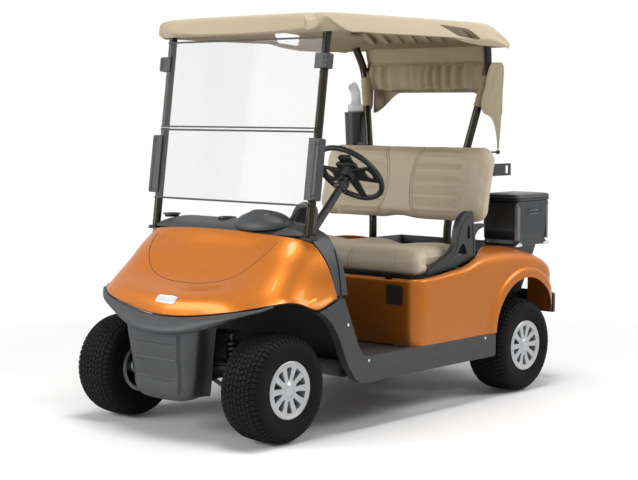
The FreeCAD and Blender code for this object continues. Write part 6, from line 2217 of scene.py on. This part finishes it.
class CartView(bpy.types.PropertyGroup):
    place: bpy.props.FloatVectorProperty(
        name="Camera place", description="Where the camera stands", size=3,
        default=(5.541, 4.785, 1.396), unit="LENGTH")
    yaw: bpy.props.FloatProperty(
        name="Heading", description="Which way the camera looks, from straight ahead",
        default=math.radians(221.440), unit="ROTATION")
    pitch: bpy.props.FloatProperty(
        name="Down", description="How far the camera looks down",
        default=math.radians(4.952), unit="ROTATION")
    roll: bpy.props.FloatProperty(
        name="Roll", description="Turn of the camera about its line of sight",
        default=math.radians(-0.078), unit="ROTATION")
    lens: bpy.props.FloatProperty(
        name="Lens", description="Focal length for a 36 mm sensor", default=86.56,
        unit="CAMERA")
    voxel: bpy.props.FloatProperty(
        name="Cushion mesh", description="Size of the cushions' cells, in millimetres",
        default=6.0)
    sky: bpy.props.FloatProperty(
        name="Sky light", description="Strength of the light from all round", default=0.18)
    top_power: bpy.props.FloatProperty(
        name="Top box", description="Power of the box above", default=330.0, unit="POWER")
    side_power: bpy.props.FloatProperty(
        name="Side box", description="Power of the box on the driver's side", default=150.0,
        unit="POWER")
    front_power: bpy.props.FloatProperty(
        name="Front box", description="Power of the box in front", default=150.0,
        unit="POWER")


OPERATORS = [CART_OT_stage, CART_OT_nose, CART_OT_rear_body, CART_OT_roof, CART_OT_bumper,
             CART_OT_dash, CART_OT_struts, CART_OT_screen, CART_OT_wheels, CART_OT_sills,
             CART_OT_arms, CART_OT_steering, CART_OT_seats, CART_OT_cover, CART_OT_sand_bottle,
             CART_OT_cooler, CART_OT_rear_pieces]


class CART_PT_panel(bpy.types.Panel):
    """The cart's pieces in the sidebar"""
    bl_idname = "CART_PT_panel"
    bl_label = "Golf cart"
    bl_space_type = "VIEW_3D"
    bl_region_type = "UI"
    bl_category = "Golf cart"

    def draw(self, context):
        for operator in OPERATORS:
            self.layout.operator(operator.bl_idname)


def finish_nodes():
    """Gives each solid that still shows the finish of its slot."""
    slots = {row["node"]: row["material_slot"] for row in frame["record"]["subparts"]}
    for name, obj in frame["nodes"].items():
        if not obj.hide_render:
            for slot in obj.material_slots:
                slot.material = materials[slots[name]]


def register():
    for thing in (CartView, *OPERATORS, CART_PT_panel):
        bpy.utils.register_class(thing)
    bpy.types.Scene.cart_view = bpy.props.PointerProperty(type=CartView)


def unregister():
    del bpy.types.Scene.cart_view
    for thing in (CART_PT_panel, *reversed(OPERATORS), CartView):
        bpy.utils.unregister_class(thing)


def main():
    register()
    make_materials()
    for operator in OPERATORS:
        group, name = operator.bl_idname.split(".")
        getattr(getattr(bpy.ops, group), name)()
    finish_nodes()


if __name__ == "__main__":
    main()
